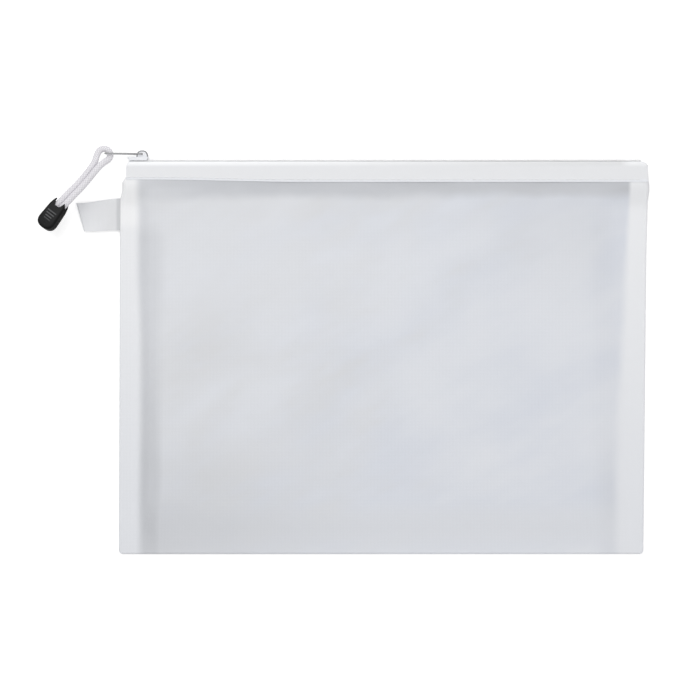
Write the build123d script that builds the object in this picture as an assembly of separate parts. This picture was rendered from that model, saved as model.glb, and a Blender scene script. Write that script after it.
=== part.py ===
from build123d import *
import math
import os

# A zip wallet for A4 papers, lying on its back. X runs along the zip, Y runs from the fold at the
# bottom up to the zip, and Z points up out of the front. The origin is in the middle of the back,
# on the surface that the wallet lies on. All sizes are in millimetres.

# Wallet
wallet_width = 335.0
wallet_height = 250.6
wallet_depth = 7.6
sheet_thickness = 0.4
cut_overrun = 5.0

# Front panel: a tray whose slopes climb from low rims to a flat face
rim_height = 2.0
side_slope_run = 6.0
bottom_slope_run = 8.0
fold_rim_width = 2.5
shoulder_below_tape = 1.5
panel_below_zip = 2.2

# Back panel: flat, with a step up over the back zip tape
step_run = 1.5
step_gap = 0.3

# Seam bindings: tape that wraps the turned-in edges of the side seams
binding_width = 11.0
binding_gap = 0.3

# Side tab: a ribbon folded in half and caught in the left seam
ribbon_thickness = 0.4
tab_length = 28.5
tab_height = 20.5
tab_below_zip = 34.5
tab_root = 8.0
tab_fold_height = 2.2
tab_sewn_length = 7.4
tab_slit_half = 0.05

# Zip tapes: each bends round from the face to the middle of the zip
tape_thickness = 0.5
tape_face_height = 12.2
tape_bend_radius = 1.9
tape_edge_gap = 1.2

# Zip teeth: two rows that mesh along the middle of the zip
tooth_pitch = 2.4
tooth_width = 1.0
tooth_reach = 0.9
spine_inner = 1.0
spine_outer = 2.1
teeth_height = 1.5
teeth_end_gap = 7.5

# Stitching along both tapes
stitch_length = 2.6
stitch_pitch = 4.0
stitch_width = 0.45
stitch_height = 0.15
stitch_inset = 1.6
stitch_end_gap = 3.0

# Slider: two plates on a post, with flanges that hold the teeth and a lug for the pull
slider_length = 13.4
slider_from_edge = 4.6
plate_thickness = 1.2
nose_flare = 0.3
inner_plate_half = 2.4
plate_corner_radius = 0.9
outer_plate_clearance = 0.15
inner_plate_clearance = 0.3
flange_width = 0.6
flange_lift = 0.5
flange_clearance = 0.2
post_length = 3.0
post_half = 0.4
post_from_nose = 1.0
post_to_teeth = 0.4
lug_from_tail = 4.1
lug_half_foot = 3.8
lug_radius = 2.3
lug_half_width = 1.1
eye_radius = 0.85

# Pull wire: a long loop of wire through the lug's eye, which climbs towards the front
wire_diameter = 0.95
wire_length = 23.4
wire_half_height = 3.2
wire_climb = 4.8
wire_bend_radius = 1.2
wire_end_gap = 0.2
wire_over_zip = 4.8

# Pull cord: one cord doubled round the wire's far end, with both ends in the cap.
# The route runs from the cap up one strand, round the wire and down the other strand.
cord_diameter = 4.0
cord_turn_share = 0.45
cord_route = [
    (-209.20, 94.97, 12.67),
    (-202.30, 104.17, 12.67),
    (-192.77, 114.65, 11.20),
    (-184.66, 124.82, 10.00),
    (-180.54, 132.63, 8.30),
    (-176.75, 133.35, 7.90),
    (-173.83, 130.83, 7.90),
    (-173.98, 126.97, 8.90),
    (-181.10, 121.75, 12.00),
    (-189.97, 112.23, 13.00),
    (-199.30, 101.93, 14.33),
    (-206.20, 92.73, 14.33),
]

# Cap: two shells that close over the knotted ends of the cord
cap_length = 20.6
cap_half_mouth = 5.1
cap_half_shoulder = 5.8
cap_half_end = 6.9
cap_end_radius = 5.2
cap_shell_height = 3.3
cap_edge_radius = 1.1
cap_mouth_depth = 6.5
notch_half_mouth = 4.0
notch_half_floor = 2.3
notch_depth = 4.2
cavity_half_width = 4.2
cavity_half_height = 2.1
cavity_end = 15.0
knot_gap = 0.1
knot_length = 7.6
knot_half_width = 3.7
knot_half_height = 2.0
knot_corner_radius = 1.2
grip_rib_count = 4
grip_rib_start = 8.4
grip_rib_pitch = 1.85
grip_rib_width = 0.9
grip_rib_half_length = 3.8
grip_rib_shortening = 0.4
grip_rib_height = 0.5

# Places that follow from the sizes above
half_width = wallet_width / 2
zip_y = wallet_height / 2
fold_y = -wallet_height / 2
mid_z = wallet_depth / 2
face_z = wallet_depth - tape_thickness
rim_under_z = rim_height - sheet_thickness
fold_radius = rim_height / 2
panel_top_y = zip_y - panel_below_zip
tape_low_y = zip_y - tape_face_height
step_top_y = tape_low_y - step_gap
step_low_y = step_top_y - step_run
stepped_z = tape_thickness + sheet_thickness
slider_nose_x = -half_width + slider_from_edge
slider_tail_x = slider_nose_x + slider_length
post_end_x = slider_nose_x + post_from_nose + post_length
lug_x = slider_tail_x - lug_from_tail
outer_plate_half_tail = spine_outer + flange_clearance + flange_width
outer_plate_half_nose = outer_plate_half_tail + nose_flare
wire_y = zip_y + wire_over_zip
wire_far_x = lug_x - wire_length


def along_x(points, x_low, x_high):
    """A bar whose outline is given as (y, z) points, from x_low to x_high."""
    outline = Plane.YZ.offset(x_low) * make_face(Polyline(*points, close=True))
    return extrude(outline, x_high - x_low, dir=(1, 0, 0))


def along_y(points, y_low, y_high):
    """A bar whose outline is given as (x, z) points, from y_low to y_high."""
    outline = Plane.XZ.offset(-y_low) * make_face(Polyline(*points, close=True))
    return extrude(outline, y_high - y_low, dir=(0, 1, 0))


def block(low, high):
    """A plain block between two opposite corners."""
    size = [h - l for l, h in zip(low, high)]
    middle = [(l + h) / 2 for l, h in zip(low, high)]
    return Pos(*middle) * Box(*size)


def slope_shift(run, rise, inset):
    """How far a slope moves sideways when its face moves in by inset."""
    return inset * math.hypot(run, rise) / rise


def tray_block(inset, y_end):
    """The tray and the bar along its top as one block, with each outer face moved in by inset."""
    top = face_z - inset
    rise = face_z - rim_height
    side_foot = half_width - binding_width - slope_shift(side_slope_run, rise, inset)
    side_low = side_foot + rim_height * side_slope_run / rise
    side_high = side_foot - (top - rim_height) * side_slope_run / rise
    fold_foot = fold_y + fold_radius + fold_rim_width + slope_shift(bottom_slope_run, rise, inset)
    fold_low = fold_foot - rim_height * bottom_slope_run / rise
    fold_high = fold_foot + (top - rim_height) * bottom_slope_run / rise
    bar_foot = tape_low_y - shoulder_below_tape - side_slope_run + slope_shift(side_slope_run, rise, inset)
    bar_low = bar_foot - rim_height * side_slope_run / rise
    bar_high = bar_foot + (top - rim_height) * side_slope_run / rise
    across = along_y([(-side_low, 0), (side_low, 0), (side_high, top), (-side_high, top)], fold_y, y_end)
    upright = along_x([(fold_low, 0), (y_end, 0), (y_end, top), (fold_high, top)], -half_width, half_width)
    bar_half = half_width - inset
    bar = along_x([(bar_low, 0), (y_end, 0), (y_end, top), (bar_high, top)], -bar_half, bar_half)
    return (across & upright) + bar


def front_panel():
    """The front of the mesh sheet: rims, slopes, face and the closed ends of the mouth."""
    rim = block(
        (-half_width, fold_y + fold_radius, 0),
        (half_width, panel_top_y, rim_height),
    )
    under = block(
        (-half_width - cut_overrun, fold_y - cut_overrun, -cut_overrun),
        (half_width + cut_overrun, panel_top_y + cut_overrun, rim_under_z),
    )
    inside = tray_block(sheet_thickness, panel_top_y + cut_overrun)
    return tray_block(0, panel_top_y) + rim - inside - under


def back_panel():
    """The back of the mesh sheet, which steps up over the back zip tape."""
    outline = [
        (fold_y + fold_radius, 0),
        (step_low_y, 0),
        (step_top_y, tape_thickness),
        (panel_top_y, tape_thickness),
        (panel_top_y, stepped_z),
        (step_top_y, stepped_z),
        (step_low_y, sheet_thickness),
        (fold_y + fold_radius, sheet_thickness),
    ]
    return along_x(outline, -half_width, half_width)


def bottom_fold():
    """The half-round fold that carries the sheet from the back to the front."""
    axis = Plane.YZ.offset(-half_width) * Location((fold_y + fold_radius, fold_radius))
    ring = Circle(fold_radius) - Circle(fold_radius - sheet_thickness)
    tube = extrude(axis * ring, wallet_width, dir=(1, 0, 0))
    outer_half = block(
        (-half_width, fold_y - cut_overrun, -cut_overrun),
        (half_width, fold_y + fold_radius, rim_height + cut_overrun),
    )
    return tube & outer_half


def seam_binding(side):
    """The bound seam allowance inside one side seam; side is -1 on the left and 1 on the right."""
    outline = [
        (fold_y + fold_radius + binding_gap, sheet_thickness),
        (step_low_y - binding_gap, sheet_thickness),
        (step_top_y, stepped_z),
        (panel_top_y, stepped_z),
        (panel_top_y, rim_under_z),
        (fold_y + fold_radius + binding_gap, rim_under_z),
    ]
    edges = sorted((side * half_width, side * (half_width - binding_width)))
    return along_x(outline, *edges)


def tab_root_block():
    """The two ribbon layers of the tab that lie inside the left seam."""
    return block(
        (-half_width, zip_y - tab_below_zip - tab_height / 2, rim_under_z - 2 * ribbon_thickness),
        (-half_width + tab_root, zip_y - tab_below_zip + tab_height / 2, rim_under_z),
    )


def tab_wedge(root_x, root_half, end_radius, overrun):
    """A wedge across the ribbon that widens from its root to the round end of the tab."""
    middle_y = zip_y - tab_below_zip
    root_z = rim_under_z - ribbon_thickness
    end_x = -half_width - tab_length + tab_fold_height / 2
    reach = tab_height / 2 + overrun
    wedge = along_y(
        [
            (root_x, root_z - root_half),
            (end_x, root_z - end_radius),
            (end_x, root_z + end_radius),
            (root_x, root_z + root_half),
        ],
        middle_y - reach,
        middle_y + reach,
    )
    return wedge + Pos(end_x, middle_y, root_z) * Rot(X=90) * Cylinder(end_radius, 2 * reach)


def side_tab():
    """The folded ribbon tab with its root in the left seam."""
    fold_outside = tab_fold_height / 2
    outside = tab_wedge(-half_width, ribbon_thickness, fold_outside, 0)
    open_from = -half_width - tab_sewn_length
    inside = tab_wedge(open_from, tab_slit_half, fold_outside - ribbon_thickness, cut_overrun)
    return outside - inside + tab_root_block()


def zip_tape(side):
    """One zip tape: a face strip, a bend and the strip under the teeth; side is 1 in front, -1 behind."""
    bend_z = mid_z + wallet_depth / 2 - tape_bend_radius
    face = block(
        (-half_width, tape_low_y, mid_z + wallet_depth / 2 - tape_thickness),
        (half_width, zip_y - tape_bend_radius, mid_z + wallet_depth / 2),
    )
    roof = block(
        (-half_width, zip_y - tape_thickness, mid_z + tape_edge_gap / 2),
        (half_width, zip_y, bend_z),
    )
    centre = Plane.YZ.offset(-half_width) * Location((zip_y - tape_bend_radius, bend_z))
    ring = Circle(tape_bend_radius) - Circle(tape_bend_radius - tape_thickness)
    corner = block(
        (-half_width, zip_y - tape_bend_radius, bend_z),
        (half_width, zip_y + cut_overrun, bend_z + tape_bend_radius + cut_overrun),
    )
    bend = extrude(centre * ring, wallet_width, dir=(1, 0, 0)) & corner
    tape = face + bend + roof
    return tape if side > 0 else mirror(tape, about=Plane.XY.offset(mid_z))


def zip_teeth(side):
    """One row of teeth on its spine; side is 1 for the front row and -1 for the back row."""
    start = post_end_x + post_to_teeth
    end = half_width - teeth_end_gap
    shift = tooth_pitch / 4 if side > 0 else 3 * tooth_pitch / 4
    count = int((end - start - tooth_pitch) / tooth_pitch)
    outline = [(end, spine_outer), (start, spine_outer), (start, spine_inner)]
    for index in range(count):
        low = start + shift + index * tooth_pitch
        outline += [
            (low, spine_inner),
            (low, -tooth_reach),
            (low + tooth_width, -tooth_reach),
            (low + tooth_width, spine_inner),
        ]
    outline += [(end, spine_inner)]
    placed = [(x, mid_z + side * z) for x, z in outline]
    return along_y(placed, zip_y, zip_y + teeth_height)


def stitch_row(base_z, end_gap):
    """A row of separate stitches along a zip tape, at the height base_z, with a gap at each end."""
    length = wallet_width - 2 * end_gap
    count = int((length - stitch_length) / stitch_pitch) + 1
    first = -((count - 1) * stitch_pitch + stitch_length) / 2
    low_y = tape_low_y + stitch_inset
    stitches = []
    for index in range(count):
        low_x = first + index * stitch_pitch
        stitches.append(
            block(
                (low_x, low_y, base_z),
                (low_x + stitch_length, low_y + stitch_width, base_z + stitch_height),
            )
        )
    return Compound(children=stitches)


def slider_plate(half_nose, half_tail, y_low):
    """One plate of the slider, wider at its nose, with rounded corners."""
    plate = along_y(
        [
            (slider_nose_x, mid_z - half_nose),
            (slider_tail_x, mid_z - half_tail),
            (slider_tail_x, mid_z + half_tail),
            (slider_nose_x, mid_z + half_nose),
        ],
        y_low,
        y_low + plate_thickness,
    )
    return fillet(plate.edges().filter_by(Axis.Y), plate_corner_radius)


def slider_flange(side, outer_y):
    """The lip along one side of the outer plate, which keeps the teeth in their channel."""
    nose_z = outer_plate_half_nose
    tail_z = outer_plate_half_tail
    outline = [
        (slider_nose_x + plate_corner_radius, mid_z + side * nose_z),
        (slider_tail_x - plate_corner_radius, mid_z + side * tail_z),
        (slider_tail_x - plate_corner_radius, mid_z + side * (tail_z - flange_width)),
        (slider_nose_x + plate_corner_radius, mid_z + side * (nose_z - flange_width)),
    ]
    within = slider_plate(nose_z, tail_z, outer_y)
    lip = along_y(outline, zip_y + flange_lift, outer_y)
    room = bounding_room(within, zip_y, outer_y)
    return lip & room


def bounding_room(plate, y_low, y_high):
    """The room straight below a plate's outline, between two heights."""
    outline = plate.faces().sort_by(Axis.Y)[0]
    return extrude(outline, y_high - y_low, dir=(0, -1, 0))


def slider_lug(plate_top):
    """The lug on the outer plate, with the eye that the pull wire runs through."""
    foot = [
        (lug_x - lug_half_foot, plate_top),
        (lug_x + lug_half_foot, plate_top),
        (lug_x + lug_radius, wire_y),
        (lug_x - lug_radius, wire_y),
    ]
    plane = Plane.XY.offset(mid_z - lug_half_width)
    round_top = Pos(lug_x, wire_y) * Circle(lug_radius)
    eye = Pos(lug_x, wire_y) * Circle(eye_radius)
    outline = make_face(Polyline(*foot, close=True)) + round_top - eye
    lug = extrude(plane * outline, 2 * lug_half_width, dir=(0, 0, 1))
    above_plate = block(
        (lug_x - lug_half_foot, plate_top, mid_z - lug_half_width),
        (lug_x + lug_half_foot, wire_y + lug_radius, mid_z + lug_half_width),
    )
    return lug & above_plate


def slider_body():
    """The slider: inner plate, post, outer plate with flanges, and lug."""
    outer_y = zip_y + teeth_height + outer_plate_clearance
    inner_y = zip_y - tape_thickness - inner_plate_clearance - plate_thickness
    outer = slider_plate(outer_plate_half_nose, outer_plate_half_tail, outer_y)
    inner = slider_plate(inner_plate_half, inner_plate_half, inner_y)
    post = block(
        (post_end_x - post_length, inner_y + plate_thickness, mid_z - post_half),
        (post_end_x, outer_y, mid_z + post_half),
    )
    body = outer + inner + post + slider_lug(outer_y + plate_thickness)
    for side in (-1, 1):
        body += slider_flange(side, outer_y)
    return body


def pull_wire():
    """The wire loop, whose two ends meet inside the lug's eye."""
    near_top = mid_z + wire_half_height
    near_low = mid_z - wire_half_height
    route = [
        (lug_x, wire_y, mid_z + wire_end_gap / 2),
        (lug_x, wire_y, near_top),
        (wire_far_x, wire_y, near_top + wire_climb),
        (wire_far_x, wire_y, near_low + wire_climb),
        (lug_x, wire_y, near_low),
        (lug_x, wire_y, mid_z - wire_end_gap / 2),
    ]
    path = FilletPolyline(*route, radius=wire_bend_radius)
    section = Plane(origin=path @ 0, z_dir=path % 0) * Circle(wire_diameter / 2)
    return sweep(section, path=path)


def cord_radii():
    """The largest even radius for each corner of the cord's route."""
    points = [Vector(*p) for p in cord_route]
    radii = []
    for before, here, after in zip(points, points[1:], points[2:]):
        turn = (here - before).get_angle(after - here)
        shorter = min((here - before).length, (after - here).length)
        radii.append(cord_turn_share * shorter / math.tan(math.radians(turn) / 2))
    return radii


def pull_cord():
    """The cord as a tube of straight runs and tangent arcs."""
    radii = cord_radii()
    path = FilletPolyline(*cord_route, radius=radii)
    section = Plane(origin=path @ 0, z_dir=path % 0) * Circle(cord_diameter / 2)
    tube = sweep(section, path=path)
    expected = math.pi * cord_diameter**2 / 4 * path.length
    print("cord length", round(path.length, 2), "radii", [round(r, 2) for r in radii])
    print("cord volume", round(tube.volume, 1), "section times length", round(expected, 1))
    return tube


def cap_plane():
    """The cap's own plane: X along the cap from its mouth, Z out of its front shell."""
    first = Vector(*cord_route[0])
    last = Vector(*cord_route[-1])
    along = (first - Vector(*cord_route[1])).normalized()
    across = (last - first).normalized()
    out = along.cross(across)
    mouth = (first + last) / 2 - along * cap_mouth_depth
    return Plane(origin=mouth, x_dir=along, z_dir=out if out.Z > 0 else -out)


def cap_outline():
    """The cap seen from the front: a narrow mouth, shoulders and a wide round end."""
    half = [
        (0, cap_half_mouth),
        (notch_depth, cap_half_shoulder),
        (cap_length, cap_half_end),
    ]
    other_half = [(along, -across) for along, across in reversed(half)]
    outline = make_face(Polyline(*half, *other_half, close=True))
    end_corners = outline.vertices().sort_by(Axis.X)[-2:]
    return fillet(end_corners, cap_end_radius)


def cap_notch():
    """The room between the prongs, which narrows from the mouth to its floor."""
    outline = make_face(
        Polyline(
            (-cut_overrun, -notch_half_mouth),
            (0, -notch_half_mouth),
            (notch_depth, -notch_half_floor),
            (notch_depth, notch_half_floor),
            (0, notch_half_mouth),
            (-cut_overrun, notch_half_mouth),
            close=True,
        )
    )
    reach = cap_shell_height + cut_overrun
    return extrude(Plane.XY.offset(-reach) * outline, 2 * reach, dir=(0, 0, 1))


def cap_shell(side):
    """One shell of the cap: two prongs beside the cord and half of the cavity; side is 1 in front."""
    shell = extrude(cap_outline(), side * cap_shell_height)
    outer_face = shell.faces().sort_by(Axis.Z)[-1 if side > 0 else 0]
    shell = fillet(outer_face.outer_wire().edges(), cap_edge_radius)
    cavity = block(
        (-cut_overrun, -cavity_half_width, -cavity_half_height),
        (cavity_end, cavity_half_width, cavity_half_height),
    )
    return shell - cavity - cap_notch()


def cap_front_shell():
    """The front shell with its grip ribs."""
    shell = cap_shell(1)
    for index in range(grip_rib_count):
        low = grip_rib_start + index * grip_rib_pitch
        half_length = grip_rib_half_length - index * grip_rib_shortening
        shell += block(
            (low, -half_length, cap_shell_height - grip_rib_height),
            (low + grip_rib_width, half_length, cap_shell_height + grip_rib_height),
        )
    return cap_plane() * shell


def cap_rear_shell():
    """The rear shell, plain outside."""
    return cap_plane() * cap_shell(-1)


def cord_knot():
    """The knot that ties the cord's two ends together inside the cap."""
    knot_start = cap_mouth_depth + knot_gap
    knot = block(
        (knot_start, -knot_half_width, -knot_half_height),
        (knot_start + knot_length, knot_half_width, knot_half_height),
    )
    return cap_plane() * fillet(knot.edges(), knot_corner_radius)


def build():
    """Makes every piece of the wallet, by name."""
    left_binding = seam_binding(-1) - tab_root_block()
    return {
        "front_panel": front_panel(),
        "back_panel": back_panel(),
        "bottom_fold": bottom_fold(),
        "left_seam_binding": left_binding,
        "right_seam_binding": seam_binding(1),
        "side_tab": side_tab(),
        "front_zip_tape": zip_tape(1),
        "back_zip_tape": zip_tape(-1),
        "front_zip_teeth": zip_teeth(1),
        "back_zip_teeth": zip_teeth(-1),
        "front_zip_stitching": stitch_row(wallet_depth, stitch_end_gap),
        "back_zip_stitching": stitch_row(stepped_z, binding_width + stitch_end_gap),
        "slider_body": slider_body(),
        "pull_wire": pull_wire(),
        "pull_cord": pull_cord(),
        "cord_knot": cord_knot(),
        "cap_front_shell": cap_front_shell(),
        "cap_rear_shell": cap_rear_shell(),
    }


os.makedirs("parts", exist_ok=True)
for name, shape in build().items():
    export_step(shape, f"parts/{name}.step")
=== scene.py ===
"""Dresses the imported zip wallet: cloth, zip, pull and a plain studio round them.

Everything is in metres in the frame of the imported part: X along the zip, Y from the bottom fold up
to the zip, Z up out of the front, with the wallet lying on its back on the floor.
"""

import logging
import math
from dataclasses import dataclass
from enum import Enum
from typing import Callable, ClassVar, Iterable, Iterator, Sequence, Union

import bmesh
import bpy
import numpy as np
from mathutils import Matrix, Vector


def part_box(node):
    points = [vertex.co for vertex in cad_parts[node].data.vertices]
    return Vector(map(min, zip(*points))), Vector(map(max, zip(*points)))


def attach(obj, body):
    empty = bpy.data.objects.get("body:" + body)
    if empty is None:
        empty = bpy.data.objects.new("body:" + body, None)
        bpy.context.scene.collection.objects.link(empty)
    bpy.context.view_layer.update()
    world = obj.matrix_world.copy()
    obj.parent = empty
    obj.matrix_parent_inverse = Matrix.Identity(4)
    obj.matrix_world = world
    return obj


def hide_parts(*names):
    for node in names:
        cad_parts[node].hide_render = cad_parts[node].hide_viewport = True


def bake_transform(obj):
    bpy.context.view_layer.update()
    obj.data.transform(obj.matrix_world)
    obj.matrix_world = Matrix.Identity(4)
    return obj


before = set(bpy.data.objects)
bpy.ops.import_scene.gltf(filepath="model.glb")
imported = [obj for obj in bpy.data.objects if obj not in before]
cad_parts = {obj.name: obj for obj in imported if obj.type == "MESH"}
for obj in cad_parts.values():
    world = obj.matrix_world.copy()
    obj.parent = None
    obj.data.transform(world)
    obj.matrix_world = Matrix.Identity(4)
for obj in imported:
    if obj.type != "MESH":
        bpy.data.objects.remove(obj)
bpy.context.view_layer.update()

MM: float = 0.001
UP = Vector((0.0, 0.0, 1.0))
SHARP_ANGLE = math.radians(50.0)
CUT_SNAP = 1e-7
LEAST = 1e-9
GREEN_LOSS = 0.4
STRAND = "strand"
EVERYWHERE = (2.0, 1.0)
NO_HEM = -1.0
log = logging.getLogger("wallet")

Piece = bpy.types.Object
Material = bpy.types.Material
Socket = bpy.types.NodeSocket
FlatMesh = bmesh.types.BMesh
Flat = tuple[float, float]
Triple = tuple[float, float, float]
Colour = tuple[float, float, float, float]
Value = Union["Field", float, Colour]
Placed = tuple[Vector, Vector]
Place = Callable[[float, float], Placed]
Height = Callable[[float, float], float]
Line = tuple[Flat, Flat]
Frame = tuple[Vector, Vector, Vector]
Shape = tuple[list[Vector], list[tuple[int, ...]]]


class Side(Enum):
    """Which face of the wallet a piece belongs to."""

    FRONT = 1
    BACK = -1


class Span(Enum):
    """The stretches of the front, and of its zip, built as separate pieces."""

    LEFT = "left"
    RIGHT = "right"
    BOTTOM = "bottom"


def ease(value: float) -> float:
    """A smooth step from 0 to 1 for a value that runs from 0 to 1."""
    share = min(max(value, 0.0), 1.0)
    return share * share * (3.0 - 2.0 * share)


def bell(value: float) -> float:
    """A smooth hump of height 1 at 0 that fades within about two units."""
    return math.exp(-value * value)


def between(low: float, high: float, share: float) -> float:
    """The value at a share of the way from low to high."""
    return low + (high - low) * share


def drawn_in(radius: float, from_end: float) -> float:
    """How far a round corner draws an edge in, at a distance from the end."""
    inside = min(max(radius - from_end, 0.0), radius)
    return radius - math.sqrt(max(radius**2 - inside**2, 0.0))


def quarter_round(share: float) -> float:
    """The height of a quarter round at a share of its width."""
    return math.sqrt(max(1.0 - (1.0 - share) ** 2, 0.0))


def spaced(length: float, edges: Sequence[float], step: float) -> list[float]:
    """Places along a length, close together at both ends and even between them.

    Args:
        length: The whole length.
        edges: Distances from each end, growing from 0.
        step: The largest even step between the two edge zones.

    Returns:
        The places from 0 to length, in order.
    """
    inner = length - 2.0 * edges[-1]
    count = max(1, math.ceil(inner / step))
    middle = [edges[-1] + inner * k / count for k in range(1, count)]
    return [*edges, *middle, *(length - e for e in reversed(edges))]


def grey(level: float, blue: float = 0.0) -> Colour:
    """A neutral colour in linear light, with a little more blue if asked."""
    return (level * (1.0 - blue), level * (1.0 - GREEN_LOSS * blue), level * (1.0 + blue), 1.0)


class Field:
    """A value that varies over a surface, with the usual signs for sums and products."""

    def __init__(self, graph: "Graph", socket: Socket) -> None:
        """Keeps the socket and the graph that it belongs to."""
        self.graph = graph
        self.socket = socket

    def __add__(self, other: Value) -> "Field":
        """The sum."""
        return self.graph.math("ADD", self, other)

    def __sub__(self, other: Value) -> "Field":
        """The difference."""
        return self.graph.math("SUBTRACT", self, other)

    def __rsub__(self, other: Value) -> "Field":
        """A plain number less this value."""
        return self.graph.math("SUBTRACT", other, self)

    def __mul__(self, other: Value) -> "Field":
        """The product."""
        return self.graph.math("MULTIPLY", self, other)

    def __truediv__(self, other: Value) -> "Field":
        """The quotient."""
        return self.graph.math("DIVIDE", self, other)

    def most(self, other: Value) -> "Field":
        """The greater of two values."""
        return self.graph.math("MAXIMUM", self, other)

    def step(self, start: float, end: float) -> "Field":
        """A smooth step from 0 to 1.

        Args:
            start: The value at which it is 0.
            end: The value at which it is 1.

        Returns:
            The step.
        """
        node = self.graph.tree.nodes.new("ShaderNodeMapRange")
        node.interpolation_type = "SMOOTHSTEP"
        low, high = (0.0, 1.0) if start <= end else (1.0, 0.0)
        ends = {"From Min": min(start, end), "From Max": max(start, end), "To Min": low, "To Max": high}
        for name, value in {"Value": self, **ends}.items():
            self.graph.put(value, node.inputs[name])
        return Field(self.graph, node.outputs["Result"])


class Graph:
    """A material with one Principled shader, and short names for the nodes that finishes use."""

    def __init__(self, name: str) -> None:
        """Starts the material, with the object's own coordinates at hand.

        Args:
            name: The material's name.
        """
        self.material = bpy.data.materials.new(name)
        self.material.use_nodes = True
        self.tree = self.material.node_tree
        self.shader = self.tree.nodes["Principled BSDF"]
        self.place = self.tree.nodes.new("ShaderNodeTexCoord").outputs["Object"]
        split = self.tree.nodes.new("ShaderNodeSeparateXYZ")
        self.put(self.place, split.inputs[0])
        self.x, self.y, self.z = (Field(self, socket) for socket in split.outputs)

    def put(self, value: Value | Socket, socket: Socket) -> None:
        """Links a value to a socket, or sets the socket to a constant.

        Args:
            value: A field, another node's socket or a constant.
            socket: The socket that takes it.
        """
        source = value.socket if isinstance(value, Field) else value
        if isinstance(source, Socket):
            self.tree.links.new(source, socket)
        else:
            socket.default_value = source

    def math(self, kind: str, a: Value, b: Value = 0.0) -> Field:
        """The result of one Math node.

        Args:
            kind: The node's operation.
            a: The first value.
            b: The second value, where the operation has one.

        Returns:
            The result.
        """
        node = self.tree.nodes.new("ShaderNodeMath")
        node.operation = kind
        self.put(a, node.inputs[0])
        self.put(b, node.inputs[1])
        return Field(self, node.outputs[0])

    def noise(self, size: float, detail: float = 3.0, place: Socket | None = None) -> Field:
        """Noise in soft blotches.

        Args:
            size: About how large the blotches are.
            detail: How many finer layers they have.
            place: The coordinates to use in place of the object's own.

        Returns:
            The noise.
        """
        node = self.tree.nodes.new("ShaderNodeTexNoise")
        node.inputs["Scale"].default_value = 1.0 / size
        node.inputs["Detail"].default_value = detail
        self.put(self.place if place is None else place, node.inputs["Vector"])
        return Field(self, node.outputs[0])

    def drawn_noise(self, long: float, short: float, angle: float) -> Field:
        """Noise whose blotches are drawn out along a direction in the sheet's plane.

        Args:
            long: Their length.
            short: Their width.
            angle: The direction, from the X axis.

        Returns:
            The noise.
        """
        turned = self.tree.nodes.new("ShaderNodeMapping")
        turned.vector_type = "TEXTURE"
        turned.inputs["Rotation"].default_value = (0.0, 0.0, angle)
        turned.inputs["Scale"].default_value = (long, short, short)
        self.put(self.place, turned.inputs["Vector"])
        return self.noise(1.0, 2.0, turned.outputs[0])

    def stored(self) -> Field:
        """The share kept on a mesh: a yarn's height, which sets its painted groove shade, or the cap's
        painted highlight and sheen.

        Returns:
            The share, from 0 to 1.
        """
        attribute = self.tree.nodes.new("ShaderNodeAttribute")
        attribute.attribute_name = STRAND
        return Field(self, attribute.outputs["Fac"])

    def threads(self, along: Field, pitch: float) -> Field:
        """An even wave from 0 to 1 across a coordinate, one thread to each pitch."""
        return self.math("SINE", along * (2.0 * math.pi / pitch)) * 0.5 + 0.5

    def mix(self, share: Value, a: Value, b: Value) -> Field:
        """A mix of two colours.

        Args:
            share: How much of the second colour it holds.
            a: The first colour.
            b: The second colour.

        Returns:
            The mixed colour.
        """
        node = self.tree.nodes.new("ShaderNodeMix")
        node.data_type = "RGBA"
        for name, value in (("Factor", share), ("A", a), ("B", b)):
            self.put(value, node.inputs[name])
        return Field(self, node.outputs["Result"])

    def bump(self, height: Field, depth: float, strength: float) -> None:
        """Puts a bump on the shader's normal.

        Args:
            height: The bump's height, from 0 to 1.
            depth: Its depth in metres.
            strength: How strongly it shows.
        """
        node = self.tree.nodes.new("ShaderNodeBump")
        node.inputs["Distance"].default_value = depth
        node.inputs["Strength"].default_value = strength
        self.put(height, node.inputs["Height"])
        self.put(node.outputs[0], self.shader.inputs["Normal"])

    def set(self, **sockets: Value) -> None:
        """Fills the shader's own sockets, by name with spaces as underscores."""
        for name, value in sockets.items():
            self.put(value, self.shader.inputs[name.replace("_", " ")])


@dataclass(frozen=True)
class Finish:
    """A finish, known by its material's name, with the gloss and grain of its kind."""

    name: str
    roughness: ClassVar[float]
    specular: ClassVar[float] = 0.5
    sheen: ClassVar[float] = 0.0
    relief: ClassVar[float] = 0.3
    depth: ClassVar[float] = 0.02 * MM

    def make(self) -> Material:
        """The finish as a new material.

        Returns:
            The material.
        """
        g = Graph(self.name)
        colour, height = self.paint(g)
        g.bump(height, self.depth, self.relief)
        g.set(Base_Color=colour, Roughness=self.roughness)
        g.set(Specular_IOR_Level=self.specular, Sheen_Weight=self.sheen)
        return g.material

    def paint(self, g: Graph) -> tuple[Field, Field]:
        """The colour and the height of the grain, which each kind of finish has in its own way."""
        raise NotImplementedError


@dataclass(frozen=True)
class Zone:
    """A part of the sheet with soft sides, each from where it is clear to where it is full."""

    x: Flat
    y: Flat
    depth: float
    far_x: Flat = EVERYWHERE

    def over(self, g: Graph) -> Field:
        """How deep the zone is over the sheet."""
        return g.x.step(*self.x) * g.x.step(*self.far_x) * g.y.step(*self.y) * self.depth


@dataclass(frozen=True)
class PaintedLightPool:
    """A round patch of painted light, where the slack sheet turns to the light."""

    x: float
    y: float
    reach: float
    strength: float
    squeeze: float = 0.75

    def over(self, g: Graph) -> Field:
        """How strong the patch is over the sheet."""
        off_x, off_y = (g.x - self.x) * self.squeeze, g.y - self.y
        return g.math("SQRT", off_x * off_x + off_y * off_y).step(self.reach, 0.0) * self.strength


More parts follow.
